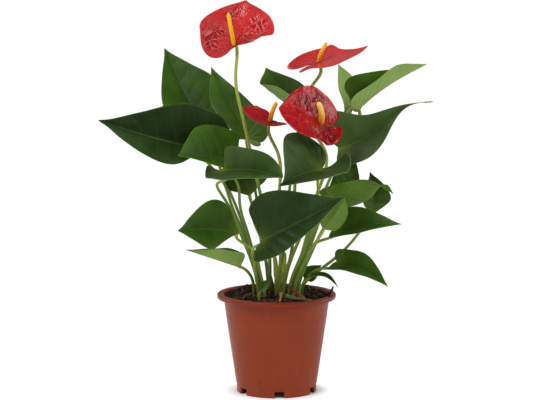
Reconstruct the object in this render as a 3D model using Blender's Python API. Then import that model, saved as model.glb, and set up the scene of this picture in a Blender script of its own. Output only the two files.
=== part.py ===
"""Potted anthurium in a 12 cm nursery pot: pot, soil, crown, 20 leaves, three young leaves and four blooms.

Each blade is one thin waved sheet worked out on a grid and thickened, with a raised midrib below.
X runs to the right, Y away from the front, Z up, and the origin is the middle of the pot's underside.
Lengths are in millimetres here and are scaled to metres when a mesh is made.
"""

import bpy
import numpy as np

MM = 0.001
GAP = 0.3

# pot
POT_HEIGHT = 100.0
RIM_RADIUS = 60.0
RIM_DEPTH = 4.4
NECK_RADIUS = 53.6
STEP_HEIGHT = 8.0
STEP_RADIUS = 40.9
FOOT_RADIUS = 40.3
WALL = 1.4
FLOOR_LIFT = 6.5
HUB_RADIUS = 14.0
POT_SEGMENTS = 36
NOTCH_WIDTH = 10.0
NOTCH_COUNT = 6
NOTCH_TURN = np.radians(4.0)
DRAIN_RADIUS = 3.5
DRAIN_CIRCLE = 27.0

# soil
SOIL_TOP = 96.0
SOIL_MOUND = 2.5
SOIL_SEGMENTS = 28
SOIL_RINGS = 4
HOLE_BOTTOM = 86.0

# stalks
STALK_SIDES = 6
STALK_RADIUS = 1.75
STALK_TOP_RADIUS = 1.3
JOINT_RADIUS = 1.8
JOINT_INSET = 1.6
SCAPE_RADIUS = 1.5

# blades
BLADE_THICKNESS = 0.8
RIB_THICKNESS = 1.7
SPATHE_THICKNESS = 0.8
WAVE = 1.3
VEIN_DEPTH = 0.25
PUCKER = 0.5
FAN_SHARE = 0.34

# half outlines, as shares of the half width and of the lobe, then of the half width and of the rest
LOBE = np.array([(0.06, 0.25), (0.24, 0.80), (0.52, 1.0), (0.82, 0.62)])
LEAF_TIP = np.array([(1.0, 0.0), (0.86, 0.25), (0.58, 0.50), (0.31, 0.72), (0.11, 0.88), (0.0, 1.0)])
SPATHE_TIP = np.array([(1.0, 0.0), (0.93, 0.36), (0.72, 0.66), (0.42, 0.86), (0.14, 0.97), (0.0, 1.0)])

# Each leaf: midrib from the stalk's joint to the tip, the way its upper face looks, and for its left and
# right halves the half width, where that is widest along the blade, the lobe behind the joint (negative
# tapers forward), the fold up from the midrib in degrees, the turn from midrib to margin and the lift of
# the lobes. The stalk starts at its place in the soil.
LEAVES = {
    "01": dict(
        midrib=[(-70, -18, 248), (-120, -38, 262), (-175, -57, 282)], face=(0, -0.85, 0.5),
        half=(34, 42), wide=(0.42, 0.22), lobe=(-38, 20), fold=(20, 20), curl=(10, 10), lift=(10, 10),
        stalk=[(-17, 2), (-25, 0, 136), (-34, -3, 163), (-46, -6, 193), (-55, -10, 217)],
    ),
    "02": dict(
        midrib=[(-68, 45, 257), (-91, 63, 292), (-116, 86, 342)], face=(0.15, -0.95, 0.25),
        half=(31, 35), wide=(0.35, 0.42), lobe=(18, 8), fold=(12, 12), curl=(10, 15),
        stalk=[(-13, 9), (-23, 18, 133), (-32, 28, 159), (-43, 39, 187), (-55, 50, 214)],
    ),
    "03": dict(
        midrib=[(-29, 33, 254), (-49, 45, 292), (-67, 57, 325)], face=(0.2, -0.95, 0.3),
        half=(26, 24), wide=(0.45, 0.1), lobe=(14, 10), fold=(50, 10), fold_tip=(5, 10),
        fold_lobe=(110, 10), curl=(10, 15),
        stalk=[(-8, 11), (-11, 21, 132), (-15, 30, 166), (-20, 36, 190), (-25, 40, 221)],
    ),
    "04": dict(
        midrib=[(-41, -20, 235), (-68, -38, 244), (-97, -56, 247)], face=(0, -0.75, 0.65),
        half=(24, 31), wide=(0.2, 0.6), lobe=(12, 2), fold=(20, 25), curl=(10, 10), lift=(10, 10),
        stalk=[(-13, -2), (-22, -4, 136), (-29, -9, 163), (-37, -12, 194), (-40, -15, 216)],
    ),
    "05": dict(
        midrib=[(-52, -68, 234), (-24, -93, 237), (6, -112, 232)], face=(0, -0.6, 0.8),
        half=(22, 26), wide=(0.35, 0.35), lobe=(-3, 20), fold=(52, 10), fold_lobe=(50, 20), curl=(10, 10),
        taper=(0.9, 1), tips=(SPATHE_TIP, LEAF_TIP), lift=(20, 105),
        stalk=[(-18, -5), (-26, -11, 137), (-37, -18, 166), (-51, -30, 199), (-58, -50, 219)],
    ),
    "06": dict(
        midrib=[(-27, 8, 198), (-32, 18, 215), (-39, 38, 242)], face=(0, -1, 0.3),
        half=(26, 26), wide=(0.45, 0.45), lobe=(-12, -12), fold=(15, 15), curl=(10, 10),
        stalk=[(-3, 8), (-12, 9, 135), (-19, 10, 168), (-24, 12, 186)],
    ),
    "07": dict(
        midrib=[(44, -57, 233), (23, -82, 231), (1, -105, 223)], face=(0, -0.6, 0.8),
        half=(31, 45), wide=(0.3, 0.3), lobe=(38, 22), fold=(18, 22), fold_lobe=(20, 30), curl=(10, 15),
        taper=(0.7, 2), lift=(110, 50),
        stalk=[(12, -10), (24, -22, 140), (33, -32, 175), (41, -40, 207)],
    ),
    "08": dict(
        midrib=[(-15, -68, 164), (25, -93, 188), (65, -105, 212)], face=(-0.1, -0.85, 0.45),
        half=(40, 27), wide=(0.32, 0.2), lobe=(1, 10), fold=(15, 15), curl=(10, 10),
        stalk=[(-17, -13), (-20, -21, 116), (-23, -38, 142), (-21, -53, 156)],
    ),
    "09": dict(
        midrib=[(-37, -38, 167), (-66, -52, 173), (-97, -68, 174)], face=(0, -0.85, 0.5),
        half=(28, 30), wide=(0.62, 0.42), lobe=(-36, -17), fold=(18, 18), curl=(10, 10),
        stalk=[(-12, -9), (-17, -15, 126), (-25, -23, 149)],
    ),
    "10": dict(
        midrib=[(-37, -13, 130), (-63, -24, 140), (-90, -40, 151)], face=(0, -0.1, 1),
        half=(14, 15), wide=(0.1, 0.1), lobe=(1, 1), fold=(75, 60), curl=(10, 10),
        stalk=[(-23, -2), (-25, -4, 111), (-30, -8, 118)],
    ),
    "11": dict(
        midrib=[(24, 42, 280), (7, 51, 300), (-11, 60, 324)], face=(0, -0.9, 0.4),
        half=(32, 20), wide=(0.6, 0.35), lobe=(8, 8), fold=(40, 10), fold_tip=(-20, 10), curl=(120, 10),
        stalk=[(0, 12), (6, 23, 132), (11, 36, 175), (16, 44, 220), (21, 50, 251)],
    ),
    "12": dict(
        midrib=[(81, 18, 285), (112, 30, 308), (153, 45, 329)], face=(-0.3, -0.4, 0.9),
        half=(30, 19), wide=(0.15, 0.65), lobe=(-6, 4), fold=(42, 80), curl=(10, 10), taper=(1.5, 1),
        stalk=[(17, 8), (29, 14, 133), (46, 24, 177), (64, 33, 228), (76, 28, 263)],
    ),
    "13": dict(
        midrib=[(78, 60, 280), (73, 75, 300), (64, 90, 325)], face=(0.2, 0.9, 0.3),
        half=(10, 10), wide=(0.6, 0.6), lobe=(4, 4), fold=(10, 10), curl=(10, 10),
        stalk=[(13, 14), (24, 28, 131), (42, 42, 174), (63, 48, 229)],
    ),
    "14": dict(
        midrib=[(64, 8, 246), (100, 0, 266), (131, -8, 291), (156, -15, 296)],
        face=[(0, -0.9, 0.4), (0, -0.9, 0.4), (0, -0.2, -0.9)],
        half=(36, 24), wide=(0.02, 0.22), taper=(1.9, 3.2), lobe=(6, 6), fold=(15, 15), curl=(10, 10),
        stalk=[(15, 2), (27, 4, 136), (42, 9, 180), (56, 14, 219)],
    ),
    "15": dict(
        midrib=[(67, 15, 193), (74, 22, 215), (80, 30, 236)], face=(0, -1, 0.2),
        half=(17, 12), wide=(0.4, 0.4), lobe=(6, 6), fold=(15, 15), curl=(10, 10),
        stalk=[(21, 1), (33, 7, 135), (52, 16, 171)],
    ),
    "16": dict(
        midrib=[(52, -12, 200), (80, -18, 208), (101, -24, 214), (116, -33, 206)],
        face=[(0, 0.85, 0.5), (0, 0.85, 0.5), (0, -0.5, 0.8)],
        half=(21, 12), wide=(0.4, 0.3), lobe=(3, 8), fold=(5, 5), curl=(10, 10),
        stalk=[(16, -4), (28, -9, 139), (41, -15, 172)],
    ),
    "17": dict(
        midrib=[(96, 15, 177), (99, 22, 196), (95, 30, 220)], face=(0, -1, 0.2),
        half=(12, 18), wide=(0.38, 0.38), lobe=(-10, -16), fold=(15, 15), curl=(10, 10),
        stalk=[(23, 6), (44, 11, 122), (74, 17, 147)],
    ),
    "18": dict(
        midrib=[(56, -27, 169), (88, -42, 176), (123, -57, 179)], face=(0, -0.75, 0.65),
        half=(20, 14), wide=(0.3, 0.25), lobe=(1, 2), fold=(15, 15), curl=(10, 10),
        stalk=[(20, -8), (30, -14, 135), (42, -21, 156)],
    ),
    "19": dict(
        midrib=[(46, -45, 172), (58, -54, 189), (67, -60, 206)], face=(0.3, 0.8, 0.5),
        half=(12, 10), wide=(0.6, 0.6), lobe=(-4, -4), fold=(15, 15), curl=(10, 10),
        stalk=[(17, -12), (28, -25, 136), (38, -40, 157)],
    ),
    "20": dict(
        midrib=[(60, -20, 136), (83, -32, 134), (111, -43, 114)], face=(0.1, -0.7, 0.7),
        half=(14, 18), wide=(0.3, 0.35), lobe=(3, 3), fold=(15, 15), curl=(10, 10), lift=(-40, -40),
        stalk=[(25, -4), (31, -7, 117), (45, -11, 127)],
    ),
}

YOUNG_LEAVES = {
    "young_leaf_1": dict(
        midrib=[(32, -15, 119), (49, -18, 121), (62, -24, 110)], face=(0, -0.4, 0.9),
        half=(4, 4), wide=(0.35, 0.35), lobe=(-3, -3), fold=(15, 15), curl=(10, 10),
        stalk=[(23, -14), (26, -14, 112)],
    ),
    "young_leaf_2": dict(
        midrib=[(28, 16, 112), (36, 17, 119), (46, 18, 126)], face=(0, -1, 0.3),
        half=(8, 9), wide=(0.35, 0.35), lobe=(-3, -3), fold=(15, 15), curl=(10, 10),
        stalk=[(24, 16), (25, 17, 103)],
    ),
    "young_leaf_3": dict(
        midrib=[(-16, -21, 105), (-12, -24, 112), (-5, -27, 119)], face=(-0.2, -1, 0.4),
        half=(5, 5), wide=(0.4, 0.4), lobe=(-3, -3), fold=(15, 15), curl=(10, 10),
        stalk=[(-18, -20), (-18, -20, 101)],
    ),
}

# Each bloom: spathe as a blade, middle and tip of its spadix with its radius, and its scape from the soil.
BLOOMS = {
    "1": dict(
        midrib=[(-43, 0, 350), (-36, -6, 375), (-31, 3, 396)], face=(0, -0.8, 0.6),
        half=(39, 42), wide=(0.13, 0.5), lobe=(21, -28), fold=(0, 20), curl=(10, 10), taper=(1.5, 1),
        tips=(SPATHE_TIP, LEAF_TIP),
        spadix=[(-45, -18, 368), (-48, -24, 385)], spadix_radius=2.2,
        scape=[(-7, 2), (-7, 0, 136), (-15, -6, 196), (-27, -6, 249), (-35, -3, 284), (-41, 2, 324)],
        paint="coral",
    ),
    "2": dict(
        midrib=[(41, 15, 333), (63, 0, 341), (91, -12, 352)], face=(0, -0.5, 0.87),
        half=(22, 25), wide=(0.04, 0.28), lobe=(42, 13), fold=(0, 5), fold_lobe=(21, 5), curl=(10, 10),
        taper=(1.9, 1), tips=(LEAF_TIP, SPATHE_TIP),
        spadix=[(45, 3, 344), (50, 0, 354)], spadix_radius=2.2,
        scape=[(6, 10), (14, 13, 134), (18, 14, 193), (25, 13, 259), (30, 13, 285), (35, 14, 308)],
        paint="coral",
    ),
    "3": dict(
        midrib=[(45, -30, 276), (23, -57, 290), (2, -68, 295)], face=(0.1, -0.8, 0.6),
        half=(26, 34), wide=(0.4, 0.12), lobe=(21, 33), fold=(-5, 8), curl=(10, 20), lift=(80, 10),
        taper=(0.9, 1.4),
        tips=(SPATHE_TIP, SPATHE_TIP),
        spadix=[(44, -46, 289), (41, -51, 299)], spadix_radius=3.2,
        scape=[(7, -11), (15, -19, 139), (29, -21, 173), (42, -18, 208), (48, -20, 248)],
        paint="crimson",
    ),
    "4": dict(
        midrib=[(-5, -30, 278), (-17, -36, 280), (-33, -42, 292)], face=(0.1, -0.5, 0.85),
        half=(14, 20), wide=(0.2, 0.2), lobe=(14, 2), fold=(15, 5), curl=(5, 5),
        tips=(SPATHE_TIP, SPATHE_TIP),
        spadix=[(-4, -38, 289), (0, -40, 298)], spadix_radius=2.4,
        scape=[(1, -10), (4, -19, 139), (2, -24, 198), (0, -27, 249)],
        paint="crimson",
    ),
}

DRY_SHEATHS = {
    "dry_sheath_left": [(-36, -13), (-34, -13, 97), (-28, -14, 101), (-22, -16, 105)],
    "dry_sheath_right": [(30, -20), (28, -20, 97), (19, -18, 104), (11, -15, 110)],
}

COLOURS = {
    "terracotta": (0.30, 0.075, 0.032, 1.0),
    "peat": (0.022, 0.013, 0.010, 1.0),
    "leaf_green": (0.030, 0.100, 0.018, 1.0),
    "stalk_green": (0.16, 0.24, 0.035, 1.0),
    "sheath_olive": (0.20, 0.24, 0.06, 1.0),
    "coral": (0.62, 0.030, 0.030, 1.0),
    "crimson": (0.44, 0.008, 0.016, 1.0),
    "yellow": (0.80, 0.50, 0.06, 1.0),
    "dry_red": (0.26, 0.05, 0.03, 1.0),
}


def clear_scene():
    for obj in list(bpy.data.objects):
        bpy.data.objects.remove(obj, do_unlink=True)


def material(name, roughness):
    made = bpy.data.materials.new(name)
    made.use_nodes = True
    shader = made.node_tree.nodes["Principled BSDF"]
    shader.inputs["Base Color"].default_value = COLOURS[name]
    shader.inputs["Roughness"].default_value = roughness
    shader.inputs["Metallic"].default_value = 0.0
    return made


def mesh_object(name, points, faces, finish):
    """An object of this mesh, given in millimetres, with its points made one where they meet."""
    places = np.round(np.asarray(points, float) * 1000).astype(np.int64)
    _, first, index = np.unique(places, axis=0, return_index=True, return_inverse=True)
    index = index.reshape(-1)
    kept = [tuple(dict.fromkeys(index[list(face)].tolist())) for face in faces]
    mesh = bpy.data.meshes.new(name)
    mesh.from_pydata((np.asarray(points, float)[first] * MM).tolist(), [], [f for f in kept if len(f) > 2])
    mesh.materials.append(finish)
    mesh.update()
    made = bpy.data.objects.new(name, mesh)
    bpy.context.scene.collection.objects.link(made)
    return made


def halved(quads):
    """Each four-sided face as two triangles, split from its first corner."""
    return np.concatenate([quads[:, [0, 1, 2]], quads[:, [0, 2, 3]]])


def cut(target, cutter, operation="DIFFERENCE"):
    cutter.hide_render = True
    cutter.display_type = "WIRE"
    change = target.modifiers.new(operation.title(), "BOOLEAN")
    change.operation = operation
    change.object = cutter
    change.solver = "EXACT"


def unit(vectors):
    vectors = np.asarray(vectors, float)
    return vectors / np.linalg.norm(vectors, axis=-1, keepdims=True)


def smooth_curve(points, shares):
    """A natural cubic spline through the points, read at these shares of its chord length."""
    points = np.asarray(points, float)
    knots = np.concatenate([[0], np.cumsum(np.linalg.norm(np.diff(points, axis=0), axis=1))])
    steps = np.diff(knots)
    size = len(points)
    system = np.eye(size)
    right = np.zeros_like(points)
    for i in range(1, size - 1):
        system[i, i - 1:i + 2] = steps[i - 1], 2 * (steps[i - 1] + steps[i]), steps[i]
        right[i] = 6 * ((points[i + 1] - points[i]) / steps[i] - (points[i] - points[i - 1]) / steps[i - 1])
    bend = np.linalg.solve(system, right)
    places = knots[-1] * np.asarray(shares)
    i = np.clip(np.searchsorted(knots, places, side="right") - 1, 0, size - 2)
    after = (places - knots[i])[:, None]
    before = (knots[i + 1] - places)[:, None]
    step = steps[i][:, None]
    return (
        (bend[i] * before**3 + bend[i + 1] * after**3) / (6 * step)
        + (points[i] / step - bend[i] * step / 6) * before
        + (points[i + 1] / step - bend[i + 1] * step / 6) * after
    )


def even_curve(points, count):
    return smooth_curve(points, np.linspace(0, 1, count))


def lathe(profile, segments, turn=0.0):
    """Points and faces of a profile of (radius, height), with both ends on the axis, turned about Z."""
    profile = np.asarray(profile, float)
    angles = turn + np.arange(segments) * 2 * np.pi / segments
    ring = np.stack([np.cos(angles), np.sin(angles)], 1)
    points = np.concatenate([
        profile[:, None, 0, None] * ring[None],
        np.repeat(profile[:, None, 1:], segments, axis=1),
    ], axis=2).reshape(-1, 3)
    faces = []
    for i in range(len(profile) - 1):
        for j in range(segments):
            k = (j + 1) % segments
            low = i * segments
            high = low + segments
            faces.append((low + j, low + k, high + k, high + j))
    return points, faces


def tube(path, radii, sides=STALK_SIDES):
    """Points and faces of a closed tube along a path, its section carried along without twisting."""
    path = np.asarray(path, float)
    along = unit(np.gradient(path, axis=0))
    across = np.cross(along[0], (0.0, 1.0, 0.0))
    angles = np.arange(sides) * 2 * np.pi / sides
    rings = []
    for centre, way, radius in zip(path, along, radii):
        across = unit(across - across @ way * way)
        other = np.cross(way, across)
        rings.append(centre + radius * (np.cos(angles)[:, None] * across + np.sin(angles)[:, None] * other))
    faces = [tuple(range(sides))[::-1]]
    for i in range(len(path) - 1):
        for j in range(sides):
            k = (j + 1) % sides
            low = i * sides
            high = low + sides
            faces.append((low + j, low + k, high + k, high + j))
    last = (len(path) - 1) * sides
    faces.append(tuple(range(last, last + sides)))
    return np.concatenate(rings), faces


def half_outline(leaf, side, length, row):
    """The margin of one half in the flat, as (across, along) for each row.

    A lobed half starts in the notch behind the joint and goes round its lobe. A tapered half starts at the
    joint, where all the rows of the other half's fan are one point.
    """
    half = leaf["half"][side]
    lobe = leaf["lobe"][side]
    wide = leaf["wide"][side]
    taper = leaf.get("taper", (1, 1))[side]
    tip = leaf.get("tips", (LEAF_TIP, LEAF_TIP))[side]
    end = np.stack([half * tip[:, 0] ** taper, length * (wide + tip[:, 1] * (1 - wide))], axis=1)
    if lobe > 0:
        start = np.concatenate([LOBE * (half, -lobe), [(0.97 * half, 0.3 * wide * length)]])
        return smooth_curve(np.concatenate([start, end]), row)
    share = np.array([0, 0.25, 0.5, 0.77])
    start = np.stack([share * half, -lobe * share**0.9], axis=1)
    return smooth_curve(np.concatenate([start, end]), np.clip((row - FAN_SHARE) / (1 - FAN_SHARE), 0, 1))


def blade_sheet(leaf, rows, columns, relief):
    """The upper face and its normals, [side, row along the margin, column from midrib to margin, axis].

    A flat half runs from the midrib to the margin along curved side veins, which fan out from the joint
    into the lobe. The midrib then carries it into space: each half turns up by its fold and bends by its
    curl, the lobes lift behind the joint, and the margin waves. Relief sinks every second row.
    """
    midrib = even_curve(leaf["midrib"], 60)
    arc = np.concatenate([[0], np.cumsum(np.linalg.norm(np.diff(midrib, axis=0), axis=1))])
    length = arc[-1]
    along = unit(np.gradient(midrib, arc, axis=0))
    faces = np.atleast_2d(np.asarray(leaf["face"], float))
    keys = np.linspace(0, 1, len(faces))
    looks = np.stack([np.interp(arc / length, keys, faces[:, axis]) for axis in range(3)], axis=1)
    above = unit(looks - (looks * along).sum(axis=1, keepdims=True) * along)
    aside = np.cross(along, above)
    fold = leaf["fold"]
    row = np.linspace(0, 1, rows)
    column = np.linspace(0, 1, columns) ** 1.3
    root = length * np.clip((row - FAN_SHARE) / (1 - FAN_SHARE), 0, 1) ** 1.25
    power = 1 + 0.35 * np.minimum(1, 4 * root / length)
    sheets = []
    normals = []
    for side, sign in enumerate((-1, 1)):
        edge = half_outline(leaf, side, length, row)
        half = leaf["half"][side]
        lobe = abs(leaf["lobe"][side])
        x = edge[:, :1] * column
        y = root[:, None] + (edge[:, 1:] - root[:, None]) * column ** power[:, None]
        inside = np.clip(y, 0, length)
        centre, way, over, out = (
            np.stack([np.interp(inside, arc, line[:, axis]) for axis in range(3)], axis=-1)
            for line in (midrib, along, above, aside)
        )
        behind = np.clip(-y, 0, None)
        turn = np.radians(leaf.get("lift", (0, 0))[side]) / lobe + 1e-6
        angle = (turn * behind)[..., None]
        centre = centre - way * np.sin(angle) / turn + over * (1 - np.cos(angle)) / turn
        over = over * np.cos(angle) + way * np.sin(angle)
        ahead = np.clip(y / length, 0, 1)
        back = np.clip(behind / lobe, 0, 1)
        tip_fold = leaf.get("fold_tip", fold)[side]
        lobe_fold = leaf.get("fold_lobe", fold)[side]
        rise = np.radians(fold[side] + (tip_fold - fold[side]) * ahead + (lobe_fold - fold[side]) * back)
        bend = np.radians(leaf["curl"][side]) / half + 1e-6
        aside_by = (np.sin(rise + bend * x) - np.sin(rise)) / bend
        above_by = (np.cos(rise) - np.cos(rise + bend * x)) / bend
        wave = min(WAVE, 0.05 * half) * np.sin(2 * np.pi * (2.5 * row + 0.2 + 0.4 * side + length / 90))
        above_by = above_by + wave[:, None] * (x / half) ** 2
        pleat = np.where(np.arange(rows) % 2, -relief, relief)[:, None]
        above_by = above_by + pleat * np.sin(np.pi * column) * np.minimum(1, x / 6)
        lean = (rise + bend * x)[..., None]
        normal = over * np.cos(lean) - sign * out * np.sin(lean)
        normal[:, 0] = over[:, 0]
        normal[-1] = over[-1]
        sheets.append(centre + sign * out * aside_by[..., None] + over * above_by[..., None])
        normals.append(normal)
    return np.array(sheets), np.array(normals), root / length


def blade(name, leaf, finish, rows=10, columns=5, relief=VEIN_DEPTH, thickness=BLADE_THICKNESS):
    """A blade as one closed shell: upper face, lower face sunk most under the midrib, and the rim."""
    upper, normals, along = blade_sheet(leaf, rows, columns, relief)
    depth = np.full((rows, columns), thickness)
    depth[:, 0] += (RIB_THICKNESS - thickness) * (1 - along)
    lower = upper - normals * depth[..., None]
    index = np.arange(upper.size * 2 // 3).reshape(2, 2, rows, columns)
    quads = []
    for side in (0, 1):
        top, bottom = index[0, side], index[1, side]
        turn = 1 if side else -1
        quads += [
            np.stack([top[:-1, :-1], top[:-1, 1:], top[1:, 1:], top[1:, :-1]], axis=-1)[..., ::turn],
            np.stack([
                bottom[:-1, :-1], bottom[:-1, 1:], bottom[1:, 1:], bottom[1:, :-1]
            ], axis=-1)[..., ::-turn],
            np.stack([top[1:, -1], top[:-1, -1], bottom[:-1, -1], bottom[1:, -1]], axis=-1)[..., ::turn],
            np.stack([top[0, 1:], top[0, :-1], bottom[0, :-1], bottom[0, 1:]], axis=-1)[..., ::turn],
        ]
    quads = np.concatenate([quad.reshape(-1, 4) for quad in quads])
    points = np.concatenate([upper.reshape(-1, 3), lower.reshape(-1, 3)])
    return mesh_object(name, points, halved(quads), finish)


def joint_of(leaf):
    """A point on the midrib just past the joint, the way the blade runs and the way its face looks."""
    joint, ahead = np.asarray(leaf["midrib"][:2], float)
    way = unit(ahead - joint)
    face = np.atleast_2d(np.asarray(leaf["face"], float))[0]
    return joint + JOINT_INSET * way, way, unit(face - face @ way * way)


def stalk_path(leaf, stalk, count, relief=VEIN_DEPTH):
    """From the bottom of the hole in the soil to just under the blade's joint, which it meets squarely."""
    joint, _, above = joint_of(leaf)
    end = joint - (RIB_THICKNESS + GAP + relief) * above
    foot = (*stalk[0], HOLE_BOTTOM + GAP)
    turn = end - 5 * above - 3 * unit(end - np.asarray(stalk[-1], float))
    line = even_curve([foot, (*stalk[0], SOIL_TOP + 3), *stalk[1:], turn, end - 1.5 * above], count - 1)
    return np.concatenate([line, [end]])


def stalk_radii(count, bottom, top, joint):
    """Slimmer upwards, with a swollen joint in the last tenth."""
    share = np.linspace(0, 1, count)
    swell = np.exp(-(((share - 0.96) / 0.06) ** 2))
    return bottom + (top - bottom) * share + (joint - top) * swell


def hole_cutter(path, radii, sides=STALK_SIDES):
    """A wider copy of the stalk's lowest stretch, from under its end to just above the soil."""
    last = np.argmax(path[:, 2] > SOIL_TOP + 5)
    share = (SOIL_TOP + 5 - path[last - 1, 2]) / (path[last, 2] - path[last - 1, 2])
    end = path[last - 1] + share * (path[last] - path[last - 1])
    low = np.concatenate([[path[0] - (0, 0, GAP)], path[1:last], [end]])
    wide = np.concatenate([radii[:last], [radii[last - 1] + share * (radii[last] - radii[last - 1])]]) + GAP
    return tube(low, wide, sides)


def build_pot(finish):
    lip = POT_HEIGHT - RIM_DEPTH
    inner = RIM_RADIUS - 6.6
    profile = [
        (0, 0), (HUB_RADIUS, 0), (HUB_RADIUS + 2.5, FLOOR_LIFT), (FOOT_RADIUS - 2.3, FLOOR_LIFT),
        (FOOT_RADIUS - 1.6, 0), (FOOT_RADIUS, 0), (STEP_RADIUS - 0.5, STEP_HEIGHT),
        (STEP_RADIUS, STEP_HEIGHT + 0.6), (NECK_RADIUS, lip), (RIM_RADIUS - 0.5, lip),
        (RIM_RADIUS, lip + 0.6),
        (RIM_RADIUS, POT_HEIGHT - 0.7), (RIM_RADIUS - 0.7, POT_HEIGHT), (inner + 0.7, POT_HEIGHT),
        (inner, POT_HEIGHT - 0.9), (NECK_RADIUS - WALL, lip - 2),
        (STEP_RADIUS - WALL, FLOOR_LIFT + 2 * WALL),
        (STEP_RADIUS - 2 * WALL, FLOOR_LIFT + WALL), (HUB_RADIUS + 1.5, FLOOR_LIFT + WALL),
        (HUB_RADIUS - 1.0, WALL), (0, WALL),
    ]
    points, faces = lathe(profile, POT_SEGMENTS)
    pot = mesh_object("pot", points, faces, finish)
    for index in range(NOTCH_COUNT):
        angle = -np.pi / 2 + NOTCH_TURN + index * 2 * np.pi / NOTCH_COUNT
        way = np.array([np.cos(angle), np.sin(angle), 0])
        side = np.array([-way[1], way[0], 0]) * NOTCH_WIDTH / 2
        corners = [way * (FOOT_RADIUS + depth) + sign * side for depth in (-5, 2) for sign in (-1, 1)]
        notch = [corner + (0, 0, height) for height in (-1, FLOOR_LIFT - 0.2) for corner in corners]
        sides = [(0, 1, 3, 2), (4, 6, 7, 5), (0, 4, 5, 1), (1, 5, 7, 3), (3, 7, 6, 2), (2, 6, 4, 0)]
        cutter = mesh_object(f"notch_cutter_{index}", notch, sides, finish)
        cut(pot, cutter)
        hole = (np.cos(angle + 0.5) * DRAIN_CIRCLE, np.sin(angle + 0.5) * DRAIN_CIRCLE)
        drain = [(*hole, FLOOR_LIFT - 3), (*hole, FLOOR_LIFT + 5)]
        drain_points, drain_faces = tube(drain, [DRAIN_RADIUS] * 2, 8)
        drain = mesh_object(f"drain_cutter_{index}", drain_points, drain_faces, finish)
        cut(pot, drain)
    return pot


def soil_height(x, y):
    """A low mound about the crown with waves of crumbs, and a little more soil at the back."""
    mound = SOIL_MOUND * np.exp(-(x**2 + y**2) / 30.0**2)
    crumbs = 0.7 * np.sin(0.43 * x + 1.1) * np.cos(0.37 * y) + 0.5 * np.sin(0.9 * x - 0.6 * y)
    return SOIL_TOP + mound + crumbs + 0.03 * y


def build_soil(finish, holes):
    wall = GAP + WALL
    top_radius = NECK_RADIUS - wall - 0.2
    lower = [
        (0, WALL + GAP), (HUB_RADIUS - 1.6, WALL + GAP), (HUB_RADIUS + 0.9, FLOOR_LIFT + WALL + GAP),
        (STEP_RADIUS - 2 * WALL - 0.3, FLOOR_LIFT + WALL + GAP),
        (STEP_RADIUS - wall - 0.1, FLOOR_LIFT + 2 * WALL + GAP),
        (top_radius - 1.0, SOIL_TOP - 9),
    ]
    upper = [(top_radius * (1 - ring / SOIL_RINGS), SOIL_TOP) for ring in range(SOIL_RINGS + 1)]
    upper[0] = (top_radius - 0.6, SOIL_TOP)
    points, faces = lathe(lower + upper, SOIL_SEGMENTS)
    surface = points[:, 2] > SOIL_TOP - 1
    points[surface, 2] = soil_height(points[surface, 0], points[surface, 1])
    triangles = [half for a, b, c, d in faces for half in ((a, b, c), (a, c, d))]
    soil = mesh_object("soil", points, triangles, finish)
    all_points = np.concatenate([hole[0] for hole in holes])
    starts = np.cumsum([0] + [len(hole[0]) for hole in holes[:-1]])
    all_faces = [
        tuple(int(start) + i for i in face)
        for start, hole in zip(starts, holes)
        for face in hole[1]
    ]
    cutter = mesh_object("stalk_holes_cutter", all_points, all_faces, finish)
    cut(soil, cutter)
    soil.modifiers[0].use_self = True


def build_stalk(name, path, radii, finish, holes):
    points, faces = tube(path, radii)
    holes.append(hole_cutter(path, radii))
    made = mesh_object(name, points, faces, finish)
    return made


def build_leaf(number, leaf, paints, holes):
    blade(f"leaf_{number}_blade", leaf, paints["leaf_green"])
    count = 6 + len(leaf["stalk"])
    path = stalk_path(leaf, leaf["stalk"], count)
    radii = stalk_radii(count, STALK_RADIUS, STALK_TOP_RADIUS, JOINT_RADIUS)
    build_stalk(f"leaf_{number}_stalk", path, radii, paints["stalk_green"], holes)


def build_young_leaf(name, leaf, paints, holes):
    """A small leaf with its stalk grown into the blade, as one body."""
    made = blade(name, leaf, paints["leaf_green"], rows=8)
    foot = (*leaf["stalk"][0], HOLE_BOTTOM + GAP)
    joint, _, above = joint_of(leaf)
    sunk = joint - 0.9 * above
    path = even_curve([foot, (*leaf["stalk"][0], SOIL_TOP + 2), leaf["stalk"][1], sunk], 8)
    radii = np.linspace(1.3, 0.8, 8)
    points, faces = tube(path, radii)
    holes.append(hole_cutter(path, radii))
    stalk = mesh_object(f"{name}_stalk_cutter", points, faces, paints["leaf_green"])
    cut(made, stalk, "UNION")


def build_spadix(name, bloom, finish):
    """A blunt spike on a short neck, whose florets stand up and sink by turns along and around it."""
    rings, sides = 16, 8
    radius = bloom["spadix_radius"]
    joint, _, above = joint_of(bloom)
    seat = joint + (GAP + 0.1 + 0.6 * radius * np.tan(np.radians(max(bloom["fold"])))) * above
    line = np.concatenate([[seat], even_curve([seat + 0.8 * radius * above, *bloom["spadix"]], rings - 1)])
    share = np.linspace(0, 1, rings)
    end = np.clip(1 - ((share - 0.88) / 0.125).clip(0) ** 2, 0.08, 1)
    radii = radius * (1 - 0.18 * share) * np.sqrt(end)
    radii[0] = 0.6 * radius
    points, faces = tube(line, radii, sides)
    centres = np.repeat(line, sides, axis=0)
    turns = np.add.outer(np.arange(rings), np.arange(sides)).reshape(-1, 1)
    points = centres + (points - centres) * (1 + 0.06 * (-1.0) ** turns)
    mesh_object(name, points, faces, finish)


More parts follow.
